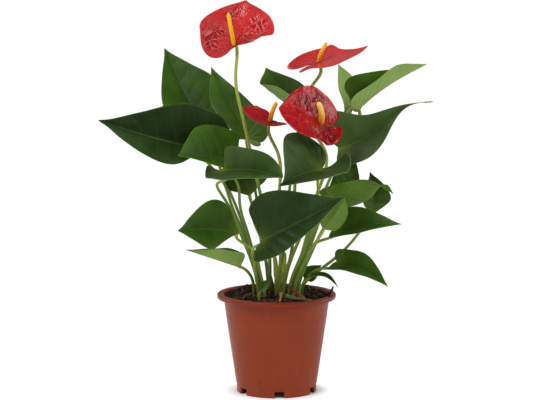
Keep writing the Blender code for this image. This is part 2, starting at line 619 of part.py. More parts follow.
def build_bloom(number, bloom, paints, holes):
    spathe = f"bloom_{number}_spathe"
    blade(spathe, bloom, paints[bloom["paint"]], 13, 6, PUCKER, SPATHE_THICKNESS)
    build_spadix(f"bloom_{number}_spadix", bloom, paints["yellow"])
    count = 6 + len(bloom["scape"])
    path = stalk_path(bloom, bloom["scape"], count, PUCKER)
    radii = stalk_radii(count, 1.8, SCAPE_RADIUS, SCAPE_RADIUS + 0.2)
    build_stalk(f"bloom_{number}_scape", path, radii, paints["stalk_green"], holes)


def build_crown(finish, holes):
    """The short stem: two sheathed shoots that part above the soil, and an old root at the front."""
    left = even_curve([(3, -2, HOLE_BOTTOM + GAP), (3, -2, 97), (1, -3, 115), (-3, -5, 146)], 9)
    right = even_curve([(4, -2, 101), (7, -3, 122), (9, -4, 142)], 7)
    left_radii = np.array([5.0, 5.2, 5.0, 4.2, 3.5, 3.0, 2.4, 1.7, 0.8])
    right_radii = np.array([3.4, 3.6, 3.4, 3.0, 2.5, 1.8, 0.8])
    points, faces = tube(left, left_radii, 10)
    holes.append(hole_cutter(left, left_radii, 10))
    made = mesh_object("crown", points, faces, finish)
    points, faces = tube(right, right_radii, 9)
    other = mesh_object("crown_shoot_cutter", points, faces, finish)
    cut(made, other, "UNION")


def build_dry_sheath(name, path, finish, holes):
    foot = (*path[0], HOLE_BOTTOM + GAP)
    line = even_curve([foot, *path[1:]], 9)
    build_stalk(name, line, np.linspace(1.5, 0.8, 9), finish, holes)


def main():
    clear_scene()
    shine = {"terracotta": 0.4, "peat": 0.95, "leaf_green": 0.35, "coral": 0.2, "crimson": 0.2}
    paints = {name: material(name, shine.get(name, 0.5)) for name in COLOURS}
    holes = []
    build_pot(paints["terracotta"])
    build_crown(paints["sheath_olive"], holes)
    for number, leaf in LEAVES.items():
        build_leaf(number, leaf, paints, holes)
    for name, leaf in YOUNG_LEAVES.items():
        build_young_leaf(name, leaf, paints, holes)
    for number, bloom in BLOOMS.items():
        build_bloom(number, bloom, paints, holes)
    for name, path in DRY_SHEATHS.items():
        build_dry_sheath(name, path, paints["dry_red"], holes)
    build_soil(paints["peat"], holes)


main()
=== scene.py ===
"""Detailed pieces, materials, stage and camera for the potted anthurium, built over its packed model.

Every blade, spathe, stalk and pot is a surface worked out on a grid in millimetres, from the same sizes as
the model that it covers, and is put into a mesh in metres. X runs to the right, Y away from the front, Z up.
"""

import bpy
import numpy as np
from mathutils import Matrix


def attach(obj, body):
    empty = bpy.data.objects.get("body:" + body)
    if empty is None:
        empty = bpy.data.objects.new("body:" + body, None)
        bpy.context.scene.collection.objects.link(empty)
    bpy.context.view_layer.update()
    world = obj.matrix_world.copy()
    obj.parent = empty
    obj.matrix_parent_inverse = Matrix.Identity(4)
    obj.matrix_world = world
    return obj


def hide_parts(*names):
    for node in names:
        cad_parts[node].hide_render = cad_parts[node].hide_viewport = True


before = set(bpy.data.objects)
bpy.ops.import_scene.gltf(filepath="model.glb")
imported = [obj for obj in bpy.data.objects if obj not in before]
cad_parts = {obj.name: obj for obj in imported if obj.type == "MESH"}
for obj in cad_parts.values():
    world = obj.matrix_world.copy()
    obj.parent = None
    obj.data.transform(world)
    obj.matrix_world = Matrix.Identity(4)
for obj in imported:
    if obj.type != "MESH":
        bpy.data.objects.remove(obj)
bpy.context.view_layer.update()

bl_info = {
    "name": "Potted Anthurium",
    "version": (1, 0, 0),
    "blender": (4, 5, 0),
    "location": "View3D > Sidebar > Anthurium",
    "description": "Makes the leaves, blooms, crown, soil, pot and stage of a potted anthurium",
    "category": "Object",
}

MM = 0.001
GAP = 0.3
FULL_TURN = 2 * np.pi

# pot and soil
POT_HEIGHT = 100.0
RIM_RADIUS = 60.0
RIM_DEPTH = 4.4
RIM_WIDTH = 6.6
NECK_RADIUS = 53.6
STEP_HEIGHT = 8.0
STEP_RADIUS = 40.9
FOOT_RADIUS = 40.3
WALL = 1.4
FLOOR_LIFT = 6.5
HUB_RADIUS = 14.0
SHOULDER_DROP = 17.5
NOTCH_WIDTH = 10.0
NOTCH_COUNT = 6
NOTCH_TURN = np.radians(4.0)
DRAIN_RADIUS = 3.5
DRAIN_CIRCLE = 27.0
DRAIN_TURN = 0.5
POT_SIDES = 288
CORNER_RADIUS = 0.6
SHARP_ANGLE = np.radians(28)
SOIL_TOP = 96.0
SOIL_MOUND = 2.5
HOLE_BOTTOM = 86.0
FOOT = HOLE_BOTTOM + GAP

# stalks and blades; rows run along a blade, columns from its midrib to its margin
STALK_RADIUS = 1.75
STALK_TOP_RADIUS = 1.3
JOINT_RADIUS = 1.8
JOINT_INSET = 1.6
SCAPE_FOOT_RADIUS = 1.8
SCAPE_RADIUS = 1.5
RIB_THICKNESS = 1.7
WAVE = 1.3
VEIN_DEPTH = 0.25
PUCKER = 0.5
FAN_SHARE = 0.34
LEAF_GRID = (84, 25)
YOUNG_GRID = (48, 13)
SPATHE_GRID = (170, 60)
LEAF_RIB = 1.1
YOUNG_RIB = 0.3
SPATHE_RIB = 0.6
THIN_BLADE = 0.7
STALK_RINGS = 70
SCAPE_RINGS = 90
YOUNG_RINGS = 40
SPATHE_VEIN_SPACING = 0.085

# half outlines as pairs: share of the half width, and share of the lobe's or the other part's length
LOBE = np.array([(0.06, 0.25), (0.24, 0.80), (0.52, 1.0), (0.82, 0.62)])
LEAF_TIP = np.array([(1.0, 0.0), (0.86, 0.25), (0.58, 0.50), (0.31, 0.72), (0.11, 0.88), (0.0, 1.0)])
SPATHE_TIP = np.array([(1.0, 0.0), (0.93, 0.36), (0.72, 0.66), (0.42, 0.86), (0.14, 0.97), (0.0, 1.0)])

# What a blade has where its table says nothing else. Pairs are for its left and right half.
BLADE = dict(fold=(15, 15), curl=(10, 10), lift=(0, 0), taper=(1, 1), tips=(LEAF_TIP, LEAF_TIP))
LEAF = dict(BLADE, grey=0.0, pale=1.0, halves=(1.0, 1.0), quilt=1.0)
YOUNG_LEAF = dict(LEAF, wide=(0.35, 0.35), lobe=(-3, -3), tone=0.35, quilt=0.3)
SPATHE = dict(BLADE, tips=(SPATHE_TIP, SPATHE_TIP))

# Each leaf: its midrib from joint to tip, the way its face looks, half widths, where they are widest, and
# lobes; folds, curls and lifts in degrees; its stalk from the soil up. tone runs from old and dark to young
# and fresh, grey is how much painted grey sheen its upper face takes, pale brightens its underside, halves
# paint light and shade on its two halves, and quilt is how far it swells between its veins. bend is where a
# petiole runs between foot and neck.
LEAVES = {
    "01": dict(
        midrib=[(-70, -18, 248), (-120, -38, 262), (-175, -57, 282)], face=(0, -0.85, 0.5), half=(34, 42),
        wide=(0.42, 0.22), lobe=(-38, 20), fold=(20, 20), lift=(10, 10), tone=0.02, grey=0.12,
        halves=(1.25, 0.62), quilt=3.0,
        stalk=[(-17, 2), (-25, 0, 136), (-34, -3, 163), (-46, -6, 193), (-55, -10, 217)],
    ),
    "02": dict(
        midrib=[(-68, 45, 257), (-91, 63, 292), (-116, 86, 342)], face=(0.15, -0.95, 0.25), half=(31, 35),
        wide=(0.35, 0.42), lobe=(18, 8), fold=(12, 12), curl=(10, 15), tone=0.36, halves=(1.1, 0.9),
        stalk=[(-13, 9), (-23, 18, 133), (-32, 28, 159), (-43, 39, 187), (-55, 50, 214)],
    ),
    "03": dict(
        midrib=[(-29, 33, 254), (-49, 45, 292), (-67, 57, 325)], face=(0.2, -0.95, 0.3), half=(26, 24),
        wide=(0.45, 0.1), lobe=(14, 10), fold=(50, 10), fold_tip=(5, 10), fold_lobe=(110, 10),
        curl=(10, 15), tone=0.68, grey=0.4,
        stalk=[(-8, 11), (-11, 21, 132), (-15, 30, 166), (-20, 36, 190), (-25, 40, 221)],
    ),
    "04": dict(
        midrib=[(-41, -20, 235), (-68, -38, 244), (-97, -56, 247)], face=(0, -0.75, 0.65), half=(24, 31),
        wide=(0.2, 0.6), lobe=(12, 2), fold=(20, 25), lift=(10, 10), tone=0.5, pale=1.3,
        stalk=[(-13, -2), (-22, -4, 136), (-29, -9, 163), (-37, -12, 194), (-40, -15, 216)],
    ),
    "05": dict(
        midrib=[(-52, -68, 234), (-24, -93, 237), (6, -112, 232)], face=(0, -0.6, 0.8), half=(22, 26),
        wide=(0.35, 0.35), lobe=(-3, 20), fold=(52, 10), fold_lobe=(50, 20), lift=(20, 105), taper=(0.9, 1),
        tips=(SPATHE_TIP, LEAF_TIP), tone=0.26, grey=0.45, quilt=1.5,
        stalk=[(-18, -5), (-26, -11, 137), (-37, -18, 166), (-51, -30, 199), (-58, -50, 219)],
    ),
    "06": dict(
        midrib=[(-27, 8, 198), (-32, 18, 215), (-39, 38, 242)], face=(0, -1, 0.3), half=(26, 26),
        wide=(0.45, 0.45), lobe=(-12, -12), tone=0.3,
        stalk=[(-3, 8), (-12, 9, 135), (-19, 10, 168), (-24, 12, 186)],
    ),
    "07": dict(
        midrib=[(44, -57, 233), (23, -82, 231), (1, -105, 223)], face=(0, -0.6, 0.8), half=(31, 45),
        wide=(0.3, 0.3), lobe=(38, 22), fold=(18, 22), fold_lobe=(20, 30), curl=(10, 15), lift=(110, 50),
        taper=(0.7, 2), tone=0.16, grey=0.5, halves=(0.8, 1.1), quilt=2.0,
        stalk=[(12, -10), (24, -22, 140), (33, -32, 175), (41, -40, 207)],
    ),
    "08": dict(
        midrib=[(-15, -68, 164), (25, -93, 188), (65, -105, 212)], face=(-0.1, -0.85, 0.45), half=(40, 27),
        wide=(0.32, 0.2), lobe=(1, 10), tone=0.05, grey=0.15, halves=(1.0, 0.7), quilt=2.0,
        stalk=[(-17, -13), (-20, -21, 116), (-23, -38, 142), (-21, -53, 156)],
    ),
    "09": dict(
        midrib=[(-37, -38, 167), (-66, -52, 173), (-97, -68, 174)], face=(0, -0.85, 0.5), half=(28, 30),
        wide=(0.62, 0.42), lobe=(-36, -17), fold=(18, 18), tone=0.42, grey=0.1,
        stalk=[(-12, -9), (-17, -15, 126), (-25, -23, 149)],
    ),
    "10": dict(
        midrib=[(-37, -13, 130), (-63, -24, 140), (-90, -40, 151)], face=(0, -0.1, 1), half=(14, 15),
        wide=(0.1, 0.1), lobe=(1, 1), fold=(75, 60), tone=0.7, pale=1.3,
        stalk=[(-23, -2), (-25, -4, 111), (-30, -8, 118)],
        bend=[(-24, -4, 113), (-28, -8, 122), (-33, -11, 127)],
    ),
    "11": dict(
        midrib=[(24, 42, 280), (7, 51, 300), (-11, 60, 324)], face=(0, -0.9, 0.4), half=(32, 20),
        wide=(0.6, 0.35), lobe=(8, 8), fold=(40, 10), fold_tip=(-20, 10), curl=(120, 10), tone=0.95,
        grey=0.5, pale=1.2, stalk=[(0, 12), (6, 23, 132), (11, 36, 175), (16, 44, 220), (21, 50, 251)],
    ),
    "12": dict(
        midrib=[(81, 18, 285), (112, 30, 308), (153, 45, 329)], face=(-0.3, -0.4, 0.9), half=(30, 14.5),
        wide=(0.15, 0.65), lobe=(-6, 4), fold=(42, 80), taper=(1.5, 1), tone=0.66, pale=1.22,
        stalk=[(17, 8), (29, 14, 133), (46, 24, 177), (64, 33, 228), (76, 28, 263)],
    ),
    "13": dict(
        midrib=[(78, 60, 280), (73, 75, 300), (64, 90, 325)], face=(0.2, 0.9, 0.3), half=(10, 10),
        wide=(0.6, 0.6), lobe=(4, 4), fold=(10, 10), tone=0.7, pale=1.15,
        stalk=[(13, 14), (24, 28, 131), (42, 42, 174), (63, 48, 229)],
    ),
    "14": dict(
        midrib=[(64, 8, 246), (100, 0, 266), (131, -8, 291), (156, -15, 296)],
        face=[(0, -0.9, 0.4), (0, -0.9, 0.4), (0, -0.2, -0.9)], half=(36, 24), wide=(0.02, 0.22),
        lobe=(6, 6), taper=(1.9, 3.2), tone=0.26, grey=0.5, pale=1.4, halves=(1.15, 0.8),
        stalk=[(15, 2), (27, 4, 136), (42, 9, 180), (56, 14, 219)],
    ),
    "15": dict(
        midrib=[(67, 15, 193), (74, 22, 215), (80, 30, 236)], face=(0, -1, 0.2), half=(17, 12),
        wide=(0.4, 0.4), lobe=(6, 6), tone=0.35, stalk=[(21, 1), (33, 7, 135), (52, 16, 171)],
    ),
    "16": dict(
        midrib=[(52, -12, 200), (80, -18, 208), (101, -24, 214), (116, -33, 206)],
        face=[(0, 0.85, 0.5), (0, 0.85, 0.5), (0, -0.5, 0.8)], half=(21, 12), wide=(0.4, 0.3), lobe=(3, 8),
        fold=(5, 5), tone=0.7, pale=(0.5, 0.68, 0.25), stalk=[(16, -4), (28, -9, 139), (41, -15, 172)],
    ),
    "17": dict(
        midrib=[(96, 15, 177), (99, 22, 196), (95, 30, 220)], face=(0, -1, 0.2), half=(12, 18),
        wide=(0.38, 0.38), lobe=(-10, -16), tone=0.4, grey=0.1,
        stalk=[(23, 6), (44, 11, 122), (74, 17, 147)],
    ),
    "18": dict(
        midrib=[(56, -27, 169), (88, -42, 176), (123, -57, 179)], face=(0, -0.75, 0.65), half=(20, 14),
        wide=(0.3, 0.25), lobe=(1, 2), tone=0.46, grey=0.12,
        stalk=[(20, -8), (30, -14, 135), (42, -21, 156)],
    ),
    "19": dict(
        midrib=[(46, -45, 172), (58, -54, 189), (67, -60, 206)], face=(0.3, 0.8, 0.5), half=(12, 10),
        wide=(0.6, 0.6), lobe=(-4, -4), tone=0.8, pale=(0.62, 0.8, 0.4),
        stalk=[(17, -12), (28, -25, 136), (38, -40, 157)],
    ),
    "20": dict(
        midrib=[(60, -20, 136), (83, -32, 134), (111, -43, 114)], face=(0.1, -0.7, 0.7), half=(14, 18),
        wide=(0.3, 0.35), lobe=(3, 3), lift=(-40, -40), tone=0.5, pale=1.2,
        stalk=[(25, -4), (31, -7, 117), (45, -11, 127)],
    ),
}

YOUNG_LEAVES = {
    "young_leaf_1": dict(
        midrib=[(32, -15, 119), (49, -18, 121), (62, -24, 110)], face=(0, -0.4, 0.9), half=(4, 4),
        stalk=[(23, -14), (26, -14, 112)],
    ),
    "young_leaf_2": dict(
        midrib=[(28, 16, 112), (36, 17, 119), (46, 18, 126)], face=(0, -1, 0.3), half=(8, 9),
        stalk=[(24, 16), (25, 17, 103)],
    ),
    "young_leaf_3": dict(
        midrib=[(-16, -21, 105), (-12, -24, 112), (-5, -27, 119)], face=(-0.2, -1, 0.4), half=(5, 5),
        wide=(0.4, 0.4), stalk=[(-18, -20), (-18, -20, 101)],
    ),
}

# Each bloom: its spathe as a blade, with the number of pits along and across a half, how deep they and its
# valleys are, and its pitted hollows as (across, along, width, height) in the flat; the middle and tip of
# its spadix with its radius and colours from foot to tip; and its scape from the soil up.
BLOOMS = {
    "1": dict(
        midrib=[(-43, 0, 350), (-36, -6, 375), (-31, 3, 396)], face=(0, -0.8, 0.6), half=(39, 42),
        wide=(0.13, 0.5), lobe=(21, -28), fold=(0, 20), taper=(1.5, 1), tips=(SPATHE_TIP, LEAF_TIP),
        paint="coral", pits=(15.0, 5.0), pitted=1.0, valley=0.25,
        hollows=[
            (-17, 8, 5, 6), (-27, 2, 8, 7), (-22, -8, 7, 5), (-9, 34, 7, 6), (14, 16, 7, 9), (24, 26, 6, 6),
        ],
        spadix=[(-45, -18, 368), (-48, -24, 385)], spadix_radius=2.2,
        florets=[
            (0.0, (0.85, 0.36, 0.01)), (0.25, (1.0, 0.52, 0.01)), (0.75, (1.0, 0.58, 0.01)),
            (1.0, (0.78, 0.56, 0.02)),
        ],
        scape=[(-7, 2), (-7, 0, 136), (-15, -6, 196), (-27, -6, 249), (-35, -3, 284), (-41, 2, 324)],
    ),
    "2": dict(
        midrib=[(41, 15, 333), (63, 0, 341), (91, -12, 352)], face=(0, -0.5, 0.87), half=(26, 25),
        wide=(0.04, 0.28), lobe=(43, 15), fold=(0, 5), fold_lobe=(38, 5), lift=(-25, 0), taper=(1.9, 1),
        tips=(LEAF_TIP, SPATHE_TIP), paint="coral", pits=(12.0, 4.0), pitted=0.3, valley=0.15,
        hollows=[(-12, -6, 5, 9)], spadix=[(45, 3, 344), (50, 0, 354)], spadix_radius=2.2,
        florets=[(0.0, (0.85, 0.36, 0.02)), (0.5, (0.96, 0.48, 0.02)), (1.0, (0.88, 0.52, 0.03))],
        scape=[(6, 10), (14, 13, 134), (18, 14, 193), (25, 13, 259), (30, 13, 285), (35, 14, 308)],
    ),
    "3": dict(
        midrib=[(45, -30, 276), (23, -57, 290), (2, -68, 295)], face=(0.1, -0.8, 0.6), half=(26, 34),
        wide=(0.4, 0.12), lobe=(25, 33), fold=(-5, 8), fold_lobe=(18, 8), curl=(5, 20), lift=(115, 10),
        taper=(0.9, 1.4), paint="crimson", pits=(11.0, 2.6), pitted=0.85, valley=0.35,
        hollows=[
            (13, 20, 8, 12), (22, 6, 8, 9), (12, 34, 6, 6), (8, 2, 5, 6), (-18, -6, 7, 5), (-16, 14, 5, 5),
        ],
        spadix=[(44, -46, 289), (41, -51, 299)], spadix_radius=3.2,
        florets=[
            (0.0, (0.85, 0.24, 0.01)), (0.4, (0.96, 0.42, 0.03)), (0.85, (0.98, 0.66, 0.16)),
            (1.0, (0.96, 0.6, 0.14)),
        ],
        scape=[(7, -11), (15, -19, 139), (29, -21, 173), (42, -18, 208), (48, -20, 248)],
    ),
    "4": dict(
        midrib=[(-5, -30, 278), (-17, -36, 280), (-33, -42, 292)], face=(0.1, -0.5, 0.85), half=(14, 20),
        wide=(0.2, 0.2), lobe=(14, 2), fold=(15, 5), curl=(5, 5), paint="crimson", pits=(9.0, 3.0),
        pitted=0.2, valley=0.15, hollows=[], spadix=[(-4, -38, 289), (0, -40, 298)], spadix_radius=2.4,
        florets=[(0.0, (0.8, 0.26, 0.01)), (0.6, (0.95, 0.38, 0.01)), (1.0, (0.92, 0.46, 0.02))],
        scape=[(1, -10), (4, -19, 139), (2, -24, 198), (0, -27, 249)],
    ),
}

# Colours along a stalk or a sheath, as (share of its length, colour).
STALK_COLOURS = [
    (0.0, (0.20, 0.09, 0.03)), (0.07, (0.22, 0.20, 0.05)), (0.16, (0.20, 0.30, 0.045)),
    (0.80, (0.22, 0.34, 0.045)), (0.93, (0.36, 0.44, 0.06)), (1.0, (0.42, 0.48, 0.09)),
]
SCAPE_COLOURS = [
    (0.0, (0.18, 0.12, 0.03)), (0.15, (0.17, 0.22, 0.035)),
    (0.5, (0.20, 0.28, 0.035)), (1.0, (0.32, 0.37, 0.06)),
]
SHOOT_COLOURS = [
    (0.0, (0.20, 0.14, 0.04)), (0.2, (0.30, 0.32, 0.06)),
    (0.55, (0.34, 0.40, 0.07)), (1.0, (0.24, 0.34, 0.05)),
]

# The crown's shoots: path, radii from foot to tip, where their sheaths start round them, and the node shown.
SHOOTS = {
    "crown_main_shoot": (
        [(3, -2, FOOT), (3, -2, 97), (1, -3, 115), (-3, -5, 146)],
        (5.0, 5.2, 5.0, 4.2, 3.5, 3.0, 2.4, 1.7, 0.8), 0.4, ["crown"],
    ),
    "crown_side_shoot": (
        [(4, -2, 101), (7, -3, 122), (9, -4, 142)], (3.4, 3.6, 3.4, 3.0, 2.5, 1.8, 0.8), 2.6, [],
    ),
}

# What lies on the soil: path, colours from foot to tip, and the node shown.
LITTER = {
    "withered_dry_sheath_left": (
        [(-36, -13, FOOT), (-34, -13, 97), (-28, -14, 101), (-22, -16, 105)],
        [(0.0, (0.10, 0.03, 0.02)), (0.5, (0.27, 0.07, 0.045)), (1.0, (0.22, 0.08, 0.05))],
        ["dry_sheath_left"],
    ),
    "withered_dry_sheath_right": (
        [(30, -20, FOOT), (28, -20, 97), (19, -18, 104), (11, -15, 110)],
        [
            (0.0, (0.30, 0.25, 0.06)), (0.26, (0.52, 0.42, 0.08)), (0.36, (0.58, 0.12, 0.04)),
            (0.6, (0.46, 0.02, 0.02)), (0.8, (0.32, 0.015, 0.02)), (1.0, (0.16, 0.010, 0.02)),
        ],
        ["dry_sheath_right"],
    ),
    "withered_olive_sheath": (
        [(9, -27, 101.5), (21, -28, 99.5), (35, -31, 98)],
        [(0.0, (0.16, 0.17, 0.05)), (0.6, (0.24, 0.22, 0.07)), (1.0, (0.30, 0.25, 0.10))], [],
    ),
    "aerial_root": (
        [(4, -8, 99), (4.5, -21, 103.5), (4.0, -30, 101), (3.0, -35, 97)],
        [(0.0, (0.30, 0.24, 0.10)), (0.5, (0.36, 0.26, 0.13)), (1.0, (0.22, 0.14, 0.07))], [],
    ),
    "twig": (
        [(51, -8, 99), (54.5, -11, 103), (57, -13, 109)],
        [(0.0, (0.05, 0.028, 0.016)), (1.0, (0.10, 0.05, 0.03))], [],
    ),
}

# stage: the floor in millimetres
FLOOR_REACH = 9000.0
FLOOR_DROP = 0.2

# stage in metres; each light has its place, its size, and its power as a share of the key light's
CLEAR_RADIUS = 0.040
CLEAR_BAND = 0.014
LIGHT_TARGET = (0, 0, 0.22)
LIGHTS = {
    "key_light": ((-1.1, -1.3, 2.1), 1.0, 1.0),
    "side_light": ((1.8, -1.0, 1.2), 0.9, 0.35),
    "left_strip": ((-1.5, -1.2, 0.7), 0.22, 0.035),
    "top_strip": ((0.3, -1.6, 1.5), 0.22, 0.035),
    "right_strip": ((1.2, -1.5, 0.9), 0.22, 0.03),
    "left_rim_light": ((-1.7, 0.5, 0.5), 0.8, 0.20),
    "right_rim_light": ((1.7, 0.5, 0.5), 0.8, 0.24),
}
CAMERA_ASIDE = -0.0041
CAMERA_HEIGHT = 0.538
CAMERA_TILT = np.radians(90 - 7.81)
SENSOR_WIDTH = 36.0
LENS = 165.46789
FARTHEST_SEEN = 60.0


def unit(vectors):
    vectors = np.asarray(vectors, float)
    return vectors / np.linalg.norm(vectors, axis=-1, keepdims=True)


def smooth_curve(points, shares):
    """A natural cubic spline: a cubic on each stretch, whose second derivatives solve one linear system."""
    points = np.asarray(points, float)
    knots = np.concatenate([[0], np.cumsum(np.linalg.norm(np.diff(points, axis=0), axis=1))])
    steps = np.diff(knots)
    size = len(points)
    system = np.eye(size)
    right = np.zeros_like(points)
    for i in range(1, size - 1):
        system[i, i - 1:i + 2] = steps[i - 1], 2 * (steps[i - 1] + steps[i]), steps[i]
        right[i] = 6 * ((points[i + 1] - points[i]) / steps[i] - (points[i] - points[i - 1]) / steps[i - 1])
    bend = np.linalg.solve(system, right)
    places = knots[-1] * np.asarray(shares)
    i = np.clip(np.searchsorted(knots, places, side="right") - 1, 0, size - 2)
    after = (places - knots[i])[:, None]
    before = (knots[i + 1] - places)[:, None]
    step = steps[i][:, None]
    return (
        (bend[i] * before**3 + bend[i + 1] * after**3) / (6 * step)
        + (points[i] / step - bend[i] * step / 6) * before
        + (points[i + 1] / step - bend[i + 1] * step / 6) * after
    )


def even_curve(points, count):
    return smooth_curve(points, np.linspace(0, 1, count))


def turns_round(count):
    """Even angles round a circle."""
    return np.arange(count) * FULL_TURN / count


def bell(places, middle, width):
    """A bell curve: 1 at the middle, falling off by the square of the distance in widths."""
    return np.exp(-(((places - middle) / width) ** 2))


def ramped(places, start, width):
    """0 up to the start, then straight to 1 over the width."""
    return np.clip((places - start) / width, 0, 1)


def mixed(first, second, share):
    return first + (second - first) * share


def soft_noise(places, cell, seed):
    """Noise from -1 to 1: random values on a lattice with this cell, blended between its corners."""
    table = np.random.default_rng(seed).uniform(-1, 1, 4096)
    scaled = np.asarray(places, float) / cell
    low = np.floor(scaled).astype(np.int64)
    part = scaled - low
    part = part * part * (3 - 2 * part)
    primes = np.array([73856093, 19349663, 83492791])[:scaled.shape[-1]]
    total = 0
    for corner in np.ndindex(*(2,) * scaled.shape[-1]):
        index = ((low + corner) * primes).sum(axis=-1) % len(table)
        total = total + table[index] * np.prod(np.where(corner, part, 1 - part), axis=-1)
    return total


def cells(places, size, seed):
    """Distances to the nearest and next of the jittered centres of a square lattice, in cell sizes."""
    lattice = 64
    jitter = np.random.default_rng(seed).uniform(-0.36, 0.36, (lattice, lattice, 2))
    scaled = np.asarray(places, float) / size
    low = np.floor(scaled).astype(np.int64)
    near = []
    for step in np.ndindex(3, 3):
        cell = low + step - 1
        centre = cell + 0.5 + jitter[cell[..., 0] % lattice, cell[..., 1] % lattice]
        near.append(np.linalg.norm(scaled - centre, axis=-1))
    near = np.sort(np.array(near), axis=0)
    return near[0], near[1]


# ---------------------------------------------------------------- meshes

def grid_faces(rows, columns, closed=False):
    """Quads between neighbouring rows and columns, and from the last column to the first if closed."""
    index = np.arange(rows * columns).reshape(rows, columns)
    ahead = np.roll(index, -1, axis=1)
    if not closed:
        index, ahead = index[:, :-1], ahead[:, :-1]
    return np.stack([index[:-1], ahead[:-1], ahead[1:], index[1:]], axis=-1).reshape(-1, 4)


def welded(points, quads):
    """Triangles on points made one where they meet: places, triangles, and each corner's first number."""
    corners = np.concatenate([quads[:, [0, 1, 2]], quads[:, [0, 2, 3]]])
    # points within a micron are one; the offset keeps round numbers off the edge between two microns
    places = np.round(points * 1000 + 0.137).astype(np.int64)
    _, first, index = np.unique(places, axis=0, return_index=True, return_inverse=True)
    faces = index.reshape(-1)[corners]
    whole = (faces[:, 0] != faces[:, 1]) & (faces[:, 1] != faces[:, 2]) & (faces[:, 2] != faces[:, 0])
    return points[first], faces[whole], corners[whole], first


def vertex_normals(points, faces):
    """The sum of the area vectors of the triangles at each vertex, made one long."""
    area = np.cross(points[faces[:, 1]] - points[faces[:, 0]], points[faces[:, 2]] - points[faces[:, 0]])
    total = np.zeros_like(points)
    for corner in range(3):
        np.add.at(total, faces[:, corner], area)
    return unit(total + 1e-12)


def put(name, points, faces, materials, uv=None, tint=None, which=None, flat=None):
    """A mesh object of faces on these points in millimetres, with UV and tint by face corner."""
    mesh = bpy.data.meshes.new(name)
    mesh.vertices.add(len(points))
    mesh.vertices.foreach_set("co", (np.asarray(points) * MM).astype(np.float32).ravel())
    mesh.loops.add(faces.size)
    mesh.loops.foreach_set("vertex_index", faces.astype(np.int32).ravel())
    mesh.polygons.add(len(faces))
    mesh.polygons.foreach_set("loop_start", np.arange(0, faces.size, faces.shape[1], dtype=np.int32))
    mesh.update(calc_edges=True)
    mesh.polygons.foreach_set("use_smooth", np.ones(len(faces), bool) if flat is None else ~flat)
    if which is not None:
        mesh.polygons.foreach_set("material_index", which.astype(np.int32))
    if uv is not None:
        mesh.uv_layers.new(name="surface").data.foreach_set("uv", uv.astype(np.float32).ravel())
    if tint is not None:
        paint = mesh.color_attributes.new("tint", "FLOAT_COLOR", "CORNER")
        opaque = np.concatenate([tint, np.ones((len(tint), 1))], axis=1)
        paint.data.foreach_set("color", opaque.astype(np.float32).ravel())
    for material in materials:
        mesh.materials.append(material)
    mesh.validate()
    made = bpy.data.objects.new(name, mesh)
    bpy.context.scene.collection.objects.link(made)
    return made


def stand_in(piece, slot, *nodes):
    """The piece rides with the plant and is shown instead of these nodes; its slot is not used."""
    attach(piece, "root")
    if nodes:
        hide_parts(*nodes)


def shell(name, grid, quads, depth, uv, tint, under_tint, materials):
    """A closed sheet: the grid, a copy sunk along its normals by depth, and a flat strip round its edges."""
    points, faces, corners, first = welded(grid, quads)
    count = len(points)
    sunk = points - vertex_normals(points, faces) * depth[first][:, None]
    ends = np.concatenate([faces[:, [0, 1]], faces[:, [1, 2]], faces[:, [2, 0]]])
    open_ends = ends[~np.isin(ends[:, 0] * count + ends[:, 1], ends[:, 1] * count + ends[:, 0])]
    a, b = open_ends.T
    rim = np.concatenate([np.stack([b, a, a + count], axis=1), np.stack([b, a + count, b + count], axis=1)])
    below, rim_corners = corners[:, ::-1], first[rim % count]
    every = np.concatenate([faces, faces[:, ::-1] + count, rim])
    numbers = np.concatenate([corners, below, rim_corners]).ravel()
    colour = np.concatenate([
        tint[corners.ravel()], under_tint[below.ravel()], under_tint[rim_corners.ravel()],
    ])
    sizes = [len(faces), len(faces), len(rim)]
    which = np.repeat([0, 1, 1], sizes)
    flat = np.repeat([False, False, True], sizes)
    return put(name, np.concatenate([points, sunk]), every, materials, uv[numbers], colour, which, flat)


def tube_grid(path, radii, sides, start=(0.0, 1.0, 0.0)):
    """Rings round a path, the section carried along without twisting; one radius a ring, or one a point."""
    path = np.asarray(path, float)
    along = unit(np.gradient(path, axis=0))
    across = np.cross(along[0], start)
    sections = []
    for way in along:
        across = unit(across - across @ way * way)
        sections.append(across)
    across = np.array(sections)
    other = np.cross(along, across)
    angles = turns_round(sides)[None, :, None]
    radii = np.asarray(radii, float)
    radii = radii[:, None] if radii.ndim == 1 else radii
    spread = np.cos(angles) * across[:, None] + np.sin(angles) * other[:, None]
    return path[:, None] + radii[..., None] * spread


def closed_tube(name, grid, skin, tint):
    """A tube grid closed by a point at the middle of each end, with tint by ring and side."""
    rings, sides = grid.shape[:2]
    foot, tip = (np.repeat(grid[end].mean(axis=0)[None, None], sides, axis=1) for end in (0, -1))
    whole = np.concatenate([foot, grid, tip])
    colours = np.concatenate([tint[:1], tint, tint[-1:]]).reshape(-1, 3)
    uv = np.stack(np.meshgrid(np.arange(sides) / sides, np.linspace(0, 1, rings + 2)), axis=-1)
    uv = uv.reshape(-1, 2)
    points, faces, corners, _ = welded(whole.reshape(-1, 3), grid_faces(rings + 2, sides, closed=True))
    turned = uv[corners]
    turned[..., 0] += (turned[..., 0].max(axis=1, keepdims=True) - turned[..., 0]) > 0.5
    return put(name, points, faces, [skin], turned.reshape(-1, 2), colours[corners.ravel()])


# ---------------------------------------------------------------- blades

